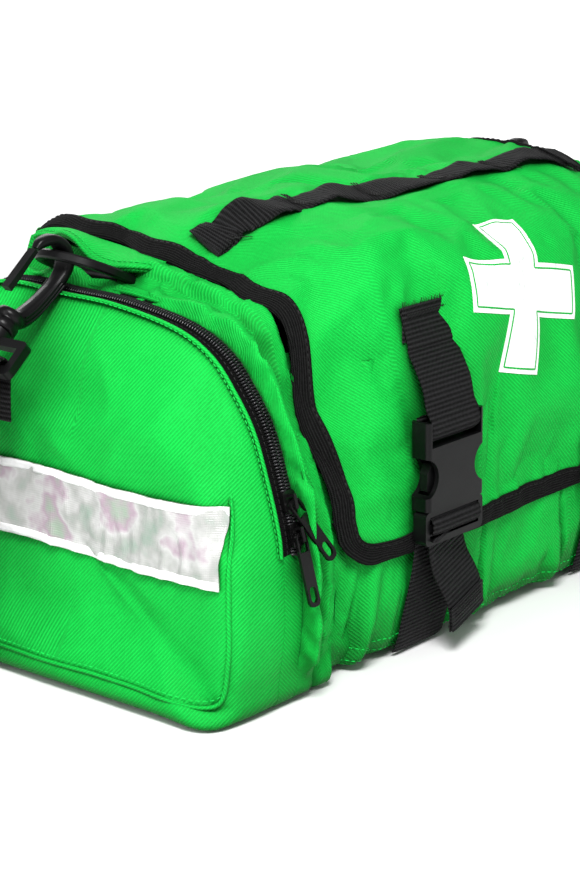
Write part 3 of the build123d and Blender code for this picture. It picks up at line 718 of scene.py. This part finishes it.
for name, sx in SIDES:
    bx = STRAP_X * sx
    zs = np.linspace(173, 152, 8)
    on = [flap_at.at(bx, flap_uv_of(bx, z), 1.3)[0] for z in zs]
    path = [(bx + 7 * smooth(128, 173, p[2]), p[1], p[2]) for p in on]
    path += [(bx + 1.2, -116.2, 139.0), (bx, -119.8, 128.5), (bx, -122.9, 122.6), (bx, -123.6, 117.0),
             (bx, -121.0, 113.6), (bx, -117.5, 113.2), (bx, -114.6, 116.0), (bx, -114.2, 124)]
    strap = Build(f"flap_webbing_{name}").ribbon(web_path(path, 90), (1, 0, 0), 38, 1.6, WEBBING, across=12)
    top_y, top_z = on[0][1:]
    fold = [(bx + 5, top_y - 3.4, top_z - 16), (bx + 6.5, top_y - 2.2, top_z - 6),
            (bx + 7, top_y - 1.4, top_z + 0.6)]
    strap.ribbon(web_path(fold, 16), (1, 0, 0), 37.4, 1.4, WEBBING, across=12)
    for z in (top_z - 14.5, top_z - 3.0):
        line = [(bx - 10, top_y - 3.1, z), (bx + 22, top_y - 3.1, z)]
        strap.stitches(line, (0, -1, 0), THREAD, pitch=2.2, length=2.2, radius=0.34)
    rng = np.random.default_rng(5 if sx < 0 else 6)
    for k in range(46):
        x0 = bx + 7 + rng.uniform(-18.5, 18.5)
        tip = (x0 + rng.uniform(-1.2, 1.2), top_y - 1.6 - rng.uniform(0, 1), top_z + rng.uniform(1.4, 3.6))
        strap.tube([(x0, top_y - 1.4, top_z - 0.5), tip], 0.13, THREAD, around=4)
    strap.make("flap", [f"flap_strap_{name}"], "black_webbing")

    low = Build(f"buckle_webbing_{name}")
    rise = [(-98.6, 1.2), (-101.6, 6), (-106.5, 25), (-111.0, 44), (-113.7, 62), (-113.8, 70), (-114.6, 74.3),
            (-119, 75.1), (-123.4, 74.2), (-124.4, 71.2), (-124.0, 67.8), (-121.2, 66.2)]
    low.ribbon(web_path([(bx, y, z) for y, z in rise], 90), (1, 0, 0), 38, 1.5, WEBBING, across=12)
    tail = [(bx, -121.2, 66.2), (bx, -117.6, 65.2), (bx + 1, -116.6, 59), (bx + 4, -117.2, 47),
            (bx + 9, -119.4, 36), (bx + 13, -120.2, 26), (bx + 16, -117.8, 17), (bx + 17, -117.6, 14.6)]
    turned = (0.96, 0.21, 0.12)
    low.ribbon(web_path(tail, 70), turned, 38, 1.6, WEBBING, across=12)
    hem = [(bx + 12.4, -121.6, 28), (bx + 16, -119.4, 17.2), (bx + 17, -119.2, 14.8)]
    low.ribbon(web_path(hem, 20), turned, 37.6, 1.5, WEBBING, across=12)
    a = np.array(turned)
    for mid in (np.array((bx + 13.2, -122.4, 26.0)), np.array((bx + 14.2, -121.9, 22.5))):
        row = [mid - a * 16, mid + a * 16]
        low.stitches(row, (0, -1, -0.3), THREAD, pitch=2.4, length=2.2, radius=0.34)
    low_obj = low.make("root", [f"buckle_strap_{name}"], "black_webbing")
    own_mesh(low_obj)

# ---- trunk ------------------------------------------------------------------------------------------
BACK_SEC = [(-40, 0.6), (40, 0.6), (82, 0.6), (93, 6), (98, 24), (104, 60), (105, 100), (105, 145), (100, 176),
            (94, 191), (91, 197)]


def trunk_section(x):
    """(y, z) from the front wall's top, under the base and up the back."""
    line = body_line(x, 7.5)
    front = line[(line[:, 0] < -60) & (line[:, 1] < 158) & (line[:, 1] > 1.0)]
    return spline(np.vstack([front[::14], [(-84, 0.6)], BACK_SEC]), 190)


def trunk_grid():
    x = np.linspace(-150, 150, 100)
    p = np.zeros((len(x), 190, 3))
    p[..., 0] = x[:, None]
    for i, at in enumerate(x):
        p[i, :, 1:] = trunk_section(at)
    nn = normals(p)
    nn *= np.sign((nn[50, 20] * np.array([0, -1, 0])).sum())
    free = smooth(0.8, 10, p[..., 2])
    puff = (1 - (np.abs(p[..., 0]) / 150) ** 4) * 2.0 * (p[..., 1] > 0)
    p = p + nn * ((puff - 0.6 + 1.2 * field(p, 60, 7) + 1.0 * folds(p, 48, 8, (1, 1, 2.6))) * free)[..., None]
    p[..., 2] = np.maximum(p[..., 2], 0.3)
    return p


tr = trunk_grid()
pins = np.zeros(tr.shape[:2], bool)
pins[0], pins[-1], pins[:, 0], pins[:, -1] = True, True, True, True
pins |= tr[..., 2] < 6
tr = settle(tr, pins, grow=0.012, cap=3.0)
tr[..., 2] = np.maximum(tr[..., 2], 0.3)
trunk = Build("trunk_cloth")
face = tr if normals(tr)[50, 20] @ np.array([0, -1, 0]) > 0 else tr[::-1]
trunk.sheet(face, 3.0, GREEN, back=GREY)
for s in (-1, 1):
    top_line = body_line(s * 150.0, 10.0)
    top_line = top_line[(top_line[:, 1] > 160) & (top_line[:, 0] < 84)][::8]
    rim = np.vstack([tr[0 if s < 0 else -1, :, 1:], top_line])
    outline = resample(rim, 240)
    centre = np.array([0.0, 95.0])
    share = np.linspace(1, 0, 26)
    p = np.zeros((len(share), len(outline), 3))
    p[..., 1:] = centre + (outline - centre)[None] * share[:, None, None]
    p[..., 0] = s * 149.0
    wall = p if s > 0 else p[:, ::-1]
    if (normals(wall)[10, 30] @ np.array([s, 0, 0])) < 0:
        wall = wall[:, ::-1]
    trunk.sheet(wall, 2.5, GREEN, uv=wall[..., 1:], wrap=True, back=GREY)
# rolled seam along the back, where the flap is sewn on
back_edge = [(x, *(body_line(x)[0] - (0.6, 2.4))) for x in np.linspace(-144, 144, 60)]
trunk.tube(back_edge, 2.8, GREEN, around=10)
trunk_obj = trunk.make("root", ["trunk_shell"], "green_nylon")


def slip_grid():
    x = np.linspace(-139, 139, 150)
    p = np.zeros((len(x), 70, 3))
    p[..., 0] = x[:, None]
    for i, at in enumerate(x):
        line = body_line(at, 3.4)
        line = line[(line[:, 0] < -50) & (line[:, 1] < 152) & (line[:, 1] > 2.5)]
        p[i, :, 1:] = resample(line[::-1], 70)
    low = 1 - smooth(20, 60, p[..., 2])
    for at, width, deep in ((-128, 3.2, 4.5), (-122, 5, -2.2), (-37, 1.8, 6.5), (-31, 5, -3.2), (-112, 7, 1.6),
                            (37, 1.8, 6.5), (31, 5, -3.2), (128, 3.2, 4.5), (122, 5, -2.2)):
        lean = (p[..., 2] - 30) * 0.10 * (1 if at < 0 else -1)
        p[..., 1] += 1.5 * deep * np.exp(-((p[..., 0] - at - lean) / width) ** 2) * (0.5 + 0.5 * low)
    crease = -1.6 * (folds(p, 42, 12, (0.8, 1, 2.8)) - 0.3) * smooth(4, 16, p[..., 2])
    p[..., 1] += crease + 1.2 * field(p, 34, 13)
    edge = 1 - smooth(124, 139, np.abs(p[..., 0]))
    p[..., 1] += 5.0 * (1 - edge)
    p[..., 1] = np.maximum(p[..., 1], np.array([body_line(at, 2.6)[:, 0].min() for at in x])[:, None])
    return p


slip = slip_grid()
pins = np.zeros(slip.shape[:2], bool)
pins[0], pins[-1], pins[:, 0], pins[:, -1] = True, True, True, True
slip = settle(slip, pins, grow=0.02, cap=3.5)
slip[..., 1] = np.clip(slip[..., 1], -109.4, None)
behind_strap = np.interp(slip[..., 2], [0, 6, 25, 44, 62, 70], [-96.6, -99.8, -104.6, -109.2, -111.8, -112])
for bx in (-STRAP_X, STRAP_X):
    near = 1 - smooth(22, 34, np.abs(slip[..., 0] - bx))
    slip[..., 1] = np.maximum(slip[..., 1], behind_strap - 14 * (1 - near))
front = Build("slip_pocket_cloth")
sheet = slip if normals(slip)[60, 30, 1] < 0 else slip[::-1]
front.sheet(sheet, 1.4, GREEN, back=LINING)
slip_at = Patch(slip, slip[:, 0, 0], np.repeat(np.linspace(0, 148, slip.shape[1])[None], len(slip), 0))
slip_at.n *= np.sign(-slip_at.n[60, 30, 1])
for b in (4.0, 11.0, 138.0):
    at, sn = slip_at.at(np.linspace(-136, 136, 150), np.full(150, b), 0.2)
    front.stitches(at, sn, GREEN_THREAD, pitch=3.4, length=2.4, radius=0.3)
front_obj = front.make("root", ["front_slip_pocket"], "green_nylon")

# ---- end pockets ------------------------------------------------------------------------------------
OUTLINE = [(94, 0.5), (103, 24), (107, 70), (105, 120), (98, 160), (82, 178), (60, 182.5), (30, 181), (-5, 180),
           (-44, 174), (-66, 164), (-80, 149), (-91, 132), (-99, 109), (-104, 91), (-106, 77), (-106.5, 45),
           (-103, 18), (-97, 0.5),
           (-60, 0.5), (0, 0.5), (60, 0.5)]
ZIP_Z = 76.0
TOOTH = ((2.3, 0.0), (1.7, 1.0), (0.6, 1.35), (-0.25, 1.0), (-0.35, 0.2))   # one turn of the zip's coil
# the end panel's bulge at its top, sides and base: (distance from the bag's middle, share of the outline)
CAP = {"top": [(185, 1.0), (188, 0.99), (193, 0.945), (199, 0.86), (205, 0.73), (210, 0.57), (214, 0.42),
               (216.5, 0.25), (217, 0.1), (217, 0.0)],
       "side": [(185, 1.0), (194, 1.005), (204, 1.0), (213, 0.985), (219, 0.95), (220.5, 0.88), (219.5, 0.74),
                (218, 0.5), (217.3, 0.25), (217, 0.0)],
       "base": [(185, 1.0), (200, 1.0), (215, 1.0), (226, 0.995), (232, 0.94), (231, 0.85), (224.5, 0.7),
                (219, 0.5), (217.4, 0.25), (217, 0.0)]}
CENTRE = np.array([0.0, 75.0])
outline = spline(OUTLINE, 261, closed=True)
tangent = np.gradient(np.vstack([outline[-2], outline, outline[1]]), axis=0)[1:-1]
out_dir = np.stack([tangent[:, 1], -tangent[:, 0]], axis=1)
out_dir /= np.linalg.norm(out_dir, axis=1, keepdims=True)
if (out_dir[65] * (outline[65] - CENTRE)).sum() < 0:
    out_dir *= -1


def cap_grid(seed):
    """The pocket's outer cloth, from the zip to the middle of the end panel, and each point's share."""
    weight = {"top": np.clip(out_dir[:, 1], 0, 1) ** 1.6, "side": np.abs(out_dir[:, 0]) ** 1.6,
              "base": np.clip(-out_dir[:, 1], 0, 1) ** 1.6}
    total = sum(weight.values())
    rad = np.zeros((70, len(outline)))
    x = np.zeros((70, len(outline)))
    for key, w in weight.items():
        c = spline(CAP[key], 70)
        x += c[:, :1] * (w / total)[None]
        rad += c[:, 1:] * (w / total)[None]
    rad[-1] = 0.0
    p = np.zeros((70, len(outline), 3))
    p[..., 1:] = CENTRE + (outline - CENTRE)[None] * rad[..., None]
    p[..., 0] = x
    inside = smooth(0.0, 0.25, 1 - rad) * smooth(0.0, 0.1, rad + 0.05)
    bumps = 2.6 * field(p, 62, seed) + 2.2 * (folds(p, 52, seed + 1, (1, 1.6, 0.9)) - 0.3)
    bumps += 0.8 * field(p, 20, seed + 2)
    calm = 1 - 0.8 * smooth(54, 66, p[..., 2]) * (1 - smooth(104, 116, p[..., 2]))
    p[..., 0] += bumps * inside * calm
    # a soft crease from the zip's front corner down to the strip
    a, b = np.array([-72.0, 152.0]), np.array([-101.0, 106.0])
    d = b - a
    t = np.clip(((p[..., 1:] - a) @ d) / (d @ d), 0, 1)
    away = np.linalg.norm(p[..., 1:] - (a + t[..., None] * d), axis=-1)
    p[..., 0] -= 3.2 * np.exp(-(away / 5.5) ** 2) * smooth(0, 0.1, 1 - rad + 0.06)
    p[..., 2] = np.maximum(p[..., 2], 0.4)
    return p, rad


def cap_sim(seed):
    p, rad = cap_grid(seed)
    pins = np.zeros(p.shape[:2], bool)
    pins[0] = pins[1] = True
    pins[-1] = pins[-2] = True
    pins |= p[..., 2] < 1.2
    pins[:, 0] = pins[:, -1] = True
    moved = settle(p, pins, grow=0.03, cap=4.0)
    moved[:, 0] = moved[:, -1] = (moved[:, 1] + moved[:, -2]) / 2
    moved[-1] = moved[-1].mean(axis=0)
    moved[..., 2] = np.maximum(moved[..., 2], 0.4)
    return moved, rad


FOLD_A, FOLD_B = np.array([-97.4, 106.0]), np.array([-4.0, 178.9])
fold_dir = (FOLD_B - FOLD_A) / np.linalg.norm(FOLD_B - FOLD_A)
fold_out = np.array([-fold_dir[1], fold_dir[0]])


def mirrored(p, s):
    q = np.array(p, float).copy()
    q[..., 0] *= s
    return q


def outward(p, s, hint):
    """The grid turned so that its normals point along hint."""
    n = normals(p)
    return p if (n.reshape(-1, 3) @ np.array(hint)).sum() > 0 else p[:, ::-1]


zip_mask = outline[:, 1] > ZIP_Z
zip_line = outline[np.argmax(zip_mask):len(zip_mask) - np.argmax(zip_mask[::-1])]
zip_n = out_dir[np.argmax(zip_mask):len(zip_mask) - np.argmax(zip_mask[::-1])]


def zip_path(x, lift, step=None):
    """Points along the zip at distance x from the middle, raised off the cloth, and the normals there."""
    line = np.column_stack([np.full(len(zip_line), x), zip_line + zip_n * lift])
    along = lengths(line)
    count = int(along[-1] / step) if step else 180
    at = np.linspace(0, along[-1], count)
    across, up = (np.interp(at, along, zip_n[:, k]) for k in (0, 1))
    return resample(line, count), np.stack([np.zeros(count), across, up], axis=1)


for name, s in SIDES:
    seed = 20 if s < 0 else 40
    cap, rad = cap_sim(seed)
    cap_m = mirrored(cap, s)
    piece = Build(f"pocket_cloth_{name}")
    depth = 216 - cap[..., 0]
    uv = np.stack([cap[..., 1] - 0.35 * depth * np.sign(cap[..., 1]), cap[..., 2] - 0.8 * depth], axis=-1)
    g = cap_m
    nrm = normals(g, True)
    uv_g = uv
    if (nrm[40] @ np.array([s, 0, 0])).sum() < 0:
        g, uv_g = g[:, ::-1], uv_g[:, ::-1]
    piece.sheet(g, 1.5, GREEN, uv=uv_g, wrap=True, back=LINING)
    # seam round the end panel, below the zip's ends
    ridge = []
    for j in range(cap.shape[1]):
        if outline[j, 1] < 108:
            i = int(np.argmax(rad[:, j] < (0.955 if abs(out_dir[j, 0]) > 0.5 else 0.86)))
            ridge.append((j, cap_m[i, j], nrm[i, j]))
    order = sorted(ridge, key=lambda r: (r[0] - 130) % 261)
    pts = np.array([r[1] for r in order])
    nn = np.array([r[2] for r in order])
    nn *= np.sign((nn * np.array([s, 0, 0])).sum())
    for _ in range(12):
        pts[1:-1] = (pts[:-2] + pts[1:-1] * 2 + pts[2:]) / 4
    piece.tube(pts + nn * 0.3, 1.2, GREEN, around=7)
    above_seam = pts + nn * 0.5 + np.array([0, 0, 3.2])
    piece.stitches(above_seam, nn, GREEN_THREAD, pitch=3.4, length=2.4, radius=0.28)
    # outer zip tape and its coil
    across = np.array([178.8, 181.0, 183.5, 186.0, 188.5])
    rows = [mirrored(zip_path(x, h)[0], s) for x, h in zip(across, (0.2, 0.0, 0.1, 0.5, 0.9))]
    tape = np.array(rows)
    tape = outward(tape, s, (0, 0, 1))
    piece.sheet(tape, 0.9, TAPE, back=TAPE)
    edge = zip_path(189.0, 1.0)[0]
    piece.tube(mirrored(edge, s), 1.1, GREEN, around=7)
    for x, h in ((190.8, 0.9), (183.6, 0.35)):
        at, an = zip_path(x, h)
        thread = GREEN_THREAD if x > 187 else THREAD
        piece.stitches(mirrored(at, s), an, thread, pitch=3.0, length=2.2, radius=0.26)
    coil_y, coil_n = zip_path(179.0, 0.5, 1.55)
    for c, cn in zip(coil_y, coil_n):
        loop = [c + np.array([dx, 0, 0]) + cn * dh for dx, dh in TOOTH]
        piece.tube(mirrored(np.array(loop), s), 0.52, COIL, around=5)
    nodes = [f"pocket_corner_{name}", f"zip_tape_corner_{name}", f"zip_tape_outer_{name}"]
    obj = piece.make(None, nodes, "green_nylon")
    mid = (FOLD_A + FOLD_B) / 2
    start, end = mid - fold_out * 5, mid + fold_out * 5
    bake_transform(obj)

    # inner gusset: cloth that rises from the zip to the flap's underside, over a ridge and a valley
    top_line = body_line(s * 146.0, 3.2) - CENTRE
    top_angle = np.unwrap(np.arctan2(top_line[:, 1], top_line[:, 0]))
    reach_out = outline - CENTRE
    angle = np.arctan2(reach_out[:, 1], reach_out[:, 0])
    angle = np.where(angle < -math.pi / 2, angle + 2 * math.pi, angle)
    out_r = np.linalg.norm(reach_out, axis=1)
    flap_r = np.interp(angle, top_angle, np.linalg.norm(top_line, axis=1), left=0, right=0)
    covered = smooth(top_angle[0] - 0.02, top_angle[0] + 0.5, angle)
    covered *= 1 - smooth(top_angle[-1] - 0.5, top_angle[-1], angle)
    inner_r = (out_r - 3.0) * (1 - covered) + np.maximum(flap_r, 60) * covered
    fine = np.linspace(146.8, 174.0, 36)
    mixing = 1 - smooth(150, 173, fine)
    ridge_line = np.interp(fine, [146, 150, 154, 158, 162, 166, 169, 171.5, 174],
                           [0, 0, -0.5, -4.6, -2.6, 2.6, 4.4, 2.0, 0.2])
    g = np.zeros((len(fine), len(outline), 3))
    g[..., 0] = fine[:, None]
    front = 1 + 0.9 * smooth(30, 80, -outline[:, 0])
    mixing, ridge_line = mixing[:, None], ridge_line[:, None]
    radius = out_r[None] * (1 - mixing) + inner_r[None] * mixing + ridge_line * front[None]
    g[..., 1:] = CENTRE + reach_out[None] / out_r[None, :, None] * radius[..., None]
    above = smooth(0, 30, g[..., 2])
    g[..., 1:] = outline[None] + (g[..., 1:] - outline[None]) * above[..., None]
    bump = 2.8 * field(g, 40, seed + 5, (0.5, 1, 1)) + 3.0 * (folds(g, 40, seed + 6, (1.6, 0.7, 0.7)) - 0.25)
    g = g + np.concatenate([0 * g[..., :1], np.broadcast_to(out_dir[None], g.shape[:2] + (2,))], axis=-1) * \
        (bump * above * smooth(148, 155, g[..., 0]) * (1 - smooth(170, 174, g[..., 0])))[..., None]
    g[..., 2] = np.maximum(g[..., 2], 0.4)
    pins = np.zeros(g.shape[:2], bool)
    pins[0] = pins[-1] = True
    pins[:, 0] = pins[:, -1] = True
    pins |= g[..., 2] < 2
    g = settle(g, pins, grow=0.03, cap=3.0)
    g[:, 0] = g[:, -1] = (g[:, 1] + g[:, -2]) / 2
    g[..., 2] = np.maximum(g[..., 2], 0.4)
    gm = mirrored(g, s)
    sleeve = Build(f"gusset_cloth_{name}")
    nrm = normals(gm, True)
    if nrm[10, 65] @ np.array([0, *out_dir[65]]) < 0:
        gm = gm[:, ::-1]
    sleeve.sheet(gm, 1.5, GREEN, wrap=True, back=LINING)
    # below the zip's ends the front and back are plain cloth right out to the cap
    for keep in (outline[:, 0] < -60, outline[:, 0] > 60):
        low = keep & (outline[:, 1] < ZIP_Z + 2)
        idx = np.nonzero(low)[0]
        wall = outline[idx] + out_dir[idx] * 0.2
        xs = np.linspace(172.5, 186.5, 9)
        strip = np.array([np.column_stack([np.full(len(idx), x), wall]) for x in xs])
        strip[..., 2] = np.maximum(strip[..., 2], 0.4)
        st = outward(mirrored(strip, s), s, (0, np.sign(outline[idx][:, 0].mean()), 0))
        sleeve.sheet(st, 1.4, GREEN, back=LINING)
    base_idx = np.nonzero(outline[:, 1] < 1.5)[0]
    base_idx = base_idx[np.argsort(outline[base_idx, 0])]
    floor_line = outline[base_idx]
    xs = np.linspace(172.5, 186.5, 5)
    base = np.array([np.column_stack([np.full(len(base_idx), x), floor_line]) for x in xs])
    sleeve.sheet(outward(mirrored(base, s), s, (0, 0, -1)), 1.2, GREEN, back=LINING)
    rows = ((170.5, 1.0), (173.0, 0.5), (175.5, 0.1), (178.2, 0.2))
    tape_in = np.array([mirrored(zip_path(x, h)[0], s) for x, h in rows])
    sleeve.sheet(outward(tape_in, s, (0, 0, 1)), 0.9, TAPE, back=TAPE)
    at, an = zip_path(170.4, 1.6)
    sleeve.tube(mirrored(at, s), 1.3, GREEN, around=7)
    at, an = zip_path(174.4, 0.6)
    sleeve.stitches(mirrored(at, s), an, THREAD, pitch=3.0, length=2.2, radius=0.26)
    for c, cn in zip(*zip_path(178.0, 0.5, 1.55)):
        shift = np.array([0, -cn[2], cn[1]]) * 0.78
        loop = [c + shift + np.array([-dx, 0, 0]) + cn * dh for dx, dh in TOOTH]
        sleeve.tube(mirrored(np.array(loop), s), 0.52, COIL, around=5)
    sleeve_obj = sleeve.make("root", [f"pocket_shell_{name}", f"zip_tape_inner_{name}"], "green_nylon")

    # reflective strip across the end panel
    body = cap[:-1].reshape(-1, 3)
    body = body[body[:, 0] > 209]

    def panel_x(y, z):
        d2 = (body[:, 1] - y) ** 2 + (body[:, 2] - z) ** 2
        near = np.argpartition(d2, 14)[:14]
        w = np.exp(-d2[near] / 18) + 1e-9
        return (w * body[near, 0]).sum() / w.sum()

    yy = np.linspace(-98, 98, 150)
    zz = np.linspace(66, 104, 22)
    waved = [[(y, z + 1.2 * math.sin(y / 23)) for z in zz] for y in yy]
    band = np.array([[(panel_x(y, z) + 0.9, y, z) for y, z in column] for column in waved])
    for _ in range(3):
        band[1:-1, :, 0] = (band[:-2, :, 0] + band[1:-1, :, 0] * 2 + band[2:, :, 0]) / 4
    band[..., 0] += 0.9 + 1.1 * folds(band, 24, seed + 9, (1, 0.7, 1.6))
    strip = Build(f"reflective_tape_{name}")
    strip.sheet(outward(mirrored(band, s), s, (s, 0, 0)), 0.7, PEARL)
    for row in (0, -1):
        edge = mirrored(band[:, row], s) + np.array([s * 0.3, 0, 1.6 if row == 0 else -1.6])
        sgn = np.tile((s, 0, 0), (len(edge), 1))
        strip.stitches(edge, sgn, WHITE_THREAD, pitch=3.0, length=2.3, radius=0.3)
        rail = mirrored(band[:, row], s) + np.array([s * 0.15, 0, 2.2 if row == 0 else -2.2])
        strip.ribbon(rail, (0, 0, 1), 4.2, 0.5, WHITE_THREAD, across=5)
    strip.make("root", [f"reflective_strip_{name}"], "reflective_tape")

    # webbing tab that holds the D-ring
    tab = Build(f"ring_webbing_{name}")
    wrap = [(150.5, 33, 185.2), (156, 33, 182.6), (162, 33, 182.4), (167.0, 33, 185.2), (167.2, 33, 189.4),
            (162.5, 33, 191.4), (156, 33, 189.0), (150.5, 33, 188.2)]
    tab.ribbon(mirrored(web_path(wrap, 40), s), (0, 1, 0), 38, 1.5, WEBBING)
    tab.make("root", [f"ring_tab_{name}"], "black_webbing")

# ---- wings of the trunk's side cover, and the strap hooks ------------------------------------------------
RISE, FALL = math.radians(26), math.radians(40)
BOW = np.array([163.0 + 30.5 * math.cos(RISE), 33.0, 187.0 + 30.5 * math.sin(RISE)])
DOWN = np.array([math.cos(FALL), 0, -math.sin(FALL)])      # along the hook, away from the ring
OVER = np.array([math.sin(FALL), 0, math.cos(FALL)])       # across the hook, upwards
ARCH = BOW + 5.5 * DOWN
for name, s in SIDES:
    line = body_line(s * 146.0, 2.6)
    ys = np.linspace(90, 0, 60)
    upper = line[:, 1] > 150
    root_z = np.interp(-ys, -line[upper][:, 0], line[upper][:, 1])
    edge = spline([(90, 149, 196), (74, 153, 200), (60, 159, 204.5), (46, 164, 201.5), (33, 166, 195.5),
                   (20, 165.5, 193.5), (8, 163, 192.5), (1.5, 156, 191), (0, 148, 190.5)], 60)
    rows = []
    for t in np.linspace(0, 1, 12):
        rise = 1.8 * math.sin(math.pi * t) + 1.2 * t * np.sin(ys / 6.0)
        rows.append(np.column_stack([147 + (edge[:, 1] - 147) * t, ys * (1 - t) + edge[:, 0] * t,
                                     root_z * (1 - t) + edge[:, 2] * t + rise]))
    rows.append(rows[-1] + np.array([0.6, 0, -1.4]))
    rows.append(rows[-1] + np.array([-1.6, 0, -1.6]))
    rows.append(rows[-1] + np.array([-6.0, 0, -1.2]))
    wing = Build(f"side_wing_{name}")
    wing.sheet(outward(mirrored(np.array(rows), s), s, (0, 0, 1)), 1.6, GREEN, back=LINING)
    wing.tube(mirrored(rows[11], s), 1.2, GREEN, around=8)
    wing.stitches(mirrored(rows[9], s) + np.array([0, 0, 0.3]), (0, 0, 1), GREEN_THREAD)
    wing.make("root", (), "green_nylon")

    def on_hook(x, y, out=0.0):
        """A point of the hook: x across it, y down from the arch, out along the bag's depth."""
        return ARCH + OVER * x + DOWN * y + np.array([0, out, 0])

    hook = Build(f"hook_body_{name}")
    route = spline([(0, 35), (-5.0, 31), (-8.2, 23), (-10.2, 12), (-11.0, 2), (-9.6, -5.8), (-5.0, -10.4),
                    (0.8, -11.6), (6.8, -9.4), (10.4, -4.0), (11.2, 0.6)], 70)
    share = np.linspace(0, 1, 70)
    wide = np.interp(share, [0, 0.2, 0.42, 0.6, 0.75, 0.95, 1], [4.6, 4.2, 2.9, 2.9, 2.8, 2.6, 1.3])
    deep = np.interp(share, [0, 0.2, 0.45, 0.65, 0.85, 1], [5.4, 5.2, 4.4, 5.8, 4.9, 2.2])
    heading = unit(np.gradient(route, axis=0))
    ring = np.linspace(0, 2 * math.pi, 17)
    body_rows = []
    for (x, y), (tx, ty), w, d in zip(route, heading, wide, deep):
        ins, dep = (np.sign(c) * np.abs(c) ** 0.7 * r for c, r in ((np.cos(ring), w), (np.sin(ring), d)))
        body_rows.append([on_hook(x - ty * i, y + tx * i, o) for i, o in zip(ins, dep)])
    g = outward(mirrored(np.array(body_rows), s), s, (0, 0, 1))
    mid = np.array(body_rows).mean(axis=1)
    n = normals(g)
    if ((g - mirrored(mid, s)[:, None]) * n).sum() < 0:
        g = g[:, ::-1]
    hook.grid(g, grid_uv(g), ACETAL)
    tip = np.stack([g[-1], np.broadcast_to(g[-1].mean(axis=0), g[-1].shape)])
    hook.grid(tip, np.zeros((2, 17, 2)), ACETAL, flip=False)
    for dx in (-1.7, 0.0, 1.7):
        for o in (-1, 1):
            leg = list(zip(route, heading, deep))[6:34]
            rib = [on_hook(x - ty * dx, y + tx * dx, o * (d - 0.15)) for (x, y), (tx, ty), d in leg]
            hook.tube(mirrored(np.array(rib), s), 0.55, ACETAL, around=6)
    barrel = [(30.5, 4.0), (31.6, 6.6), (33.2, 7.4), (35.4, 7.4), (35.8, 6.7), (37.4, 6.7), (37.8, 7.4),
              (41.4, 7.4), (42.0, 6.8), (42.0, 3.4)]
    axis = np.array([on_hook(0, y) for y, _ in barrel])
    hook.tube(mirrored(axis, s), [r for _, r in barrel], ACETAL, around=28)
    hook.make(f"hook_{name}", [f"snap_hook_{name}"], "black_acetal")

# ---- shoulder strap ---------------------------------------------------------------------------------
for name, s in SIDES:
    bar_x, bar_z = 242.9, 157.3
    strap = Build(f"shoulder_webbing_{name}")
    over_bar = ((-3.0, -26), (-3.6, -10), (-4.2, -1), (-1.5, 4.6), (4.0, 2.6), (6.5, -6))
    loop = [(bar_x + dx, 33, bar_z + dz) for dx, dz in over_bar] + [(254.5, 33, 134), (258, 33, 112)]
    loop = web_path(loop, 70)
    drop = web_path([(258, 33, 112), (258.4, 33, 90), (258.2, 35, 66), (257.5, 40, 44), (257.5, 50, 24),
                     (258, 66, 8), (258, 84, 2.0), (258, 110, 1.3), (258, 164, 1.3)], 110)
    twist = smooth(0.06, 0.42, np.linspace(0, 1, 110)) * math.pi / 2
    side = np.stack([np.sin(twist), np.cos(twist), 0 * twist], axis=1)
    strap.ribbon(mirrored(loop, s), (0, 1, 0), 38, 1.5, WEBBING, across=12)
    strap.ribbon(mirrored(drop, s), mirrored(side, s), 38, 1.5, WEBBING, across=12)
    run = web_path([(276.5, 147, 3.0), (258, 147, 3.0), (236, 147, 1.6), (180, 146.6, 1.3), (60, 147.4, 1.3),
                    (-57, 147, 1.5)], 160)
    strap.ribbon(mirrored(run, s), (0, 1, 0), 38, 1.5, WEBBING, across=12)
    obj = strap.make(None, [f"shoulder_strap_{name}"], "black_webbing")
    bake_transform(obj)

# ---- floor and light --------------------------------------------------------------------------------
floor_mesh = bpy.data.meshes.new("floor")
corners = [(x, y, -0.0013) for x, y in ((-6, -6), (6, -6), (6, 6), (-6, 6))]
floor_mesh.from_pydata(corners, [], [(0, 1, 2, 3)])
floor = bpy.data.objects.new("floor", floor_mesh)
bpy.context.scene.collection.objects.link(floor)
paper = Nodes("pale_floor", 0.8, Base_Color=(0.88, 0.88, 0.88, 1), Emission_Color=(1, 1, 1, 1))
# painted glow: the floor's emission rises with distance from the object, so the sweep of paper fades to white
# well away from it
away = paper.add("ShaderNodeVectorMath", ((0, paper.where(1.0)),), operation="LENGTH").outputs["Value"]
paper.tree.links.new(paper.range(away, 0.9, 2.2, 0.0, 0.62), paper.shader.inputs["Emission Strength"])
floor_mesh.materials.append(paper.mat)

world = bpy.data.worlds.new("studio")
bpy.context.scene.world = world
world.use_nodes = True
world_tree = world.node_tree
world_tree.nodes["Background"].inputs[0].default_value = (1, 1, 1, 1)
# a bright backdrop behind the object, with softer light from all round
seen = world_tree.nodes.new("ShaderNodeLightPath")
level = world_tree.nodes.new("ShaderNodeMapRange")
level.inputs[3].default_value, level.inputs[4].default_value = 0.42, 1.0
world_tree.links.new(seen.outputs["Is Camera Ray"], level.inputs[0])
world_tree.links.new(level.outputs[0], world_tree.nodes["Background"].inputs[1])


def area(name, place, aim, size, power):
    lamp = bpy.data.objects.new(name, bpy.data.lights.new(name, "AREA"))
    lamp.data.size, lamp.data.energy = size, power
    lamp.location = place
    lamp.rotation_mode = "QUATERNION"
    lamp.rotation_quaternion = (Vector(aim) - Vector(place)).to_track_quat("-Z", "Y")
    bpy.context.scene.collection.objects.link(lamp)


area("key", (-0.9, -0.75, 1.35), (-0.05, 0, 0.1), 0.5, 36)
area("side", (-1.6, 0.1, 0.8), (-0.2, 0, 0.1), 0.8, 6)
area("backdrop", (1.9, 3.0, 1.6), (1.9, 3.1, 0.0), 2.8, 100)
bpy.context.scene.view_settings.view_transform = "Standard"
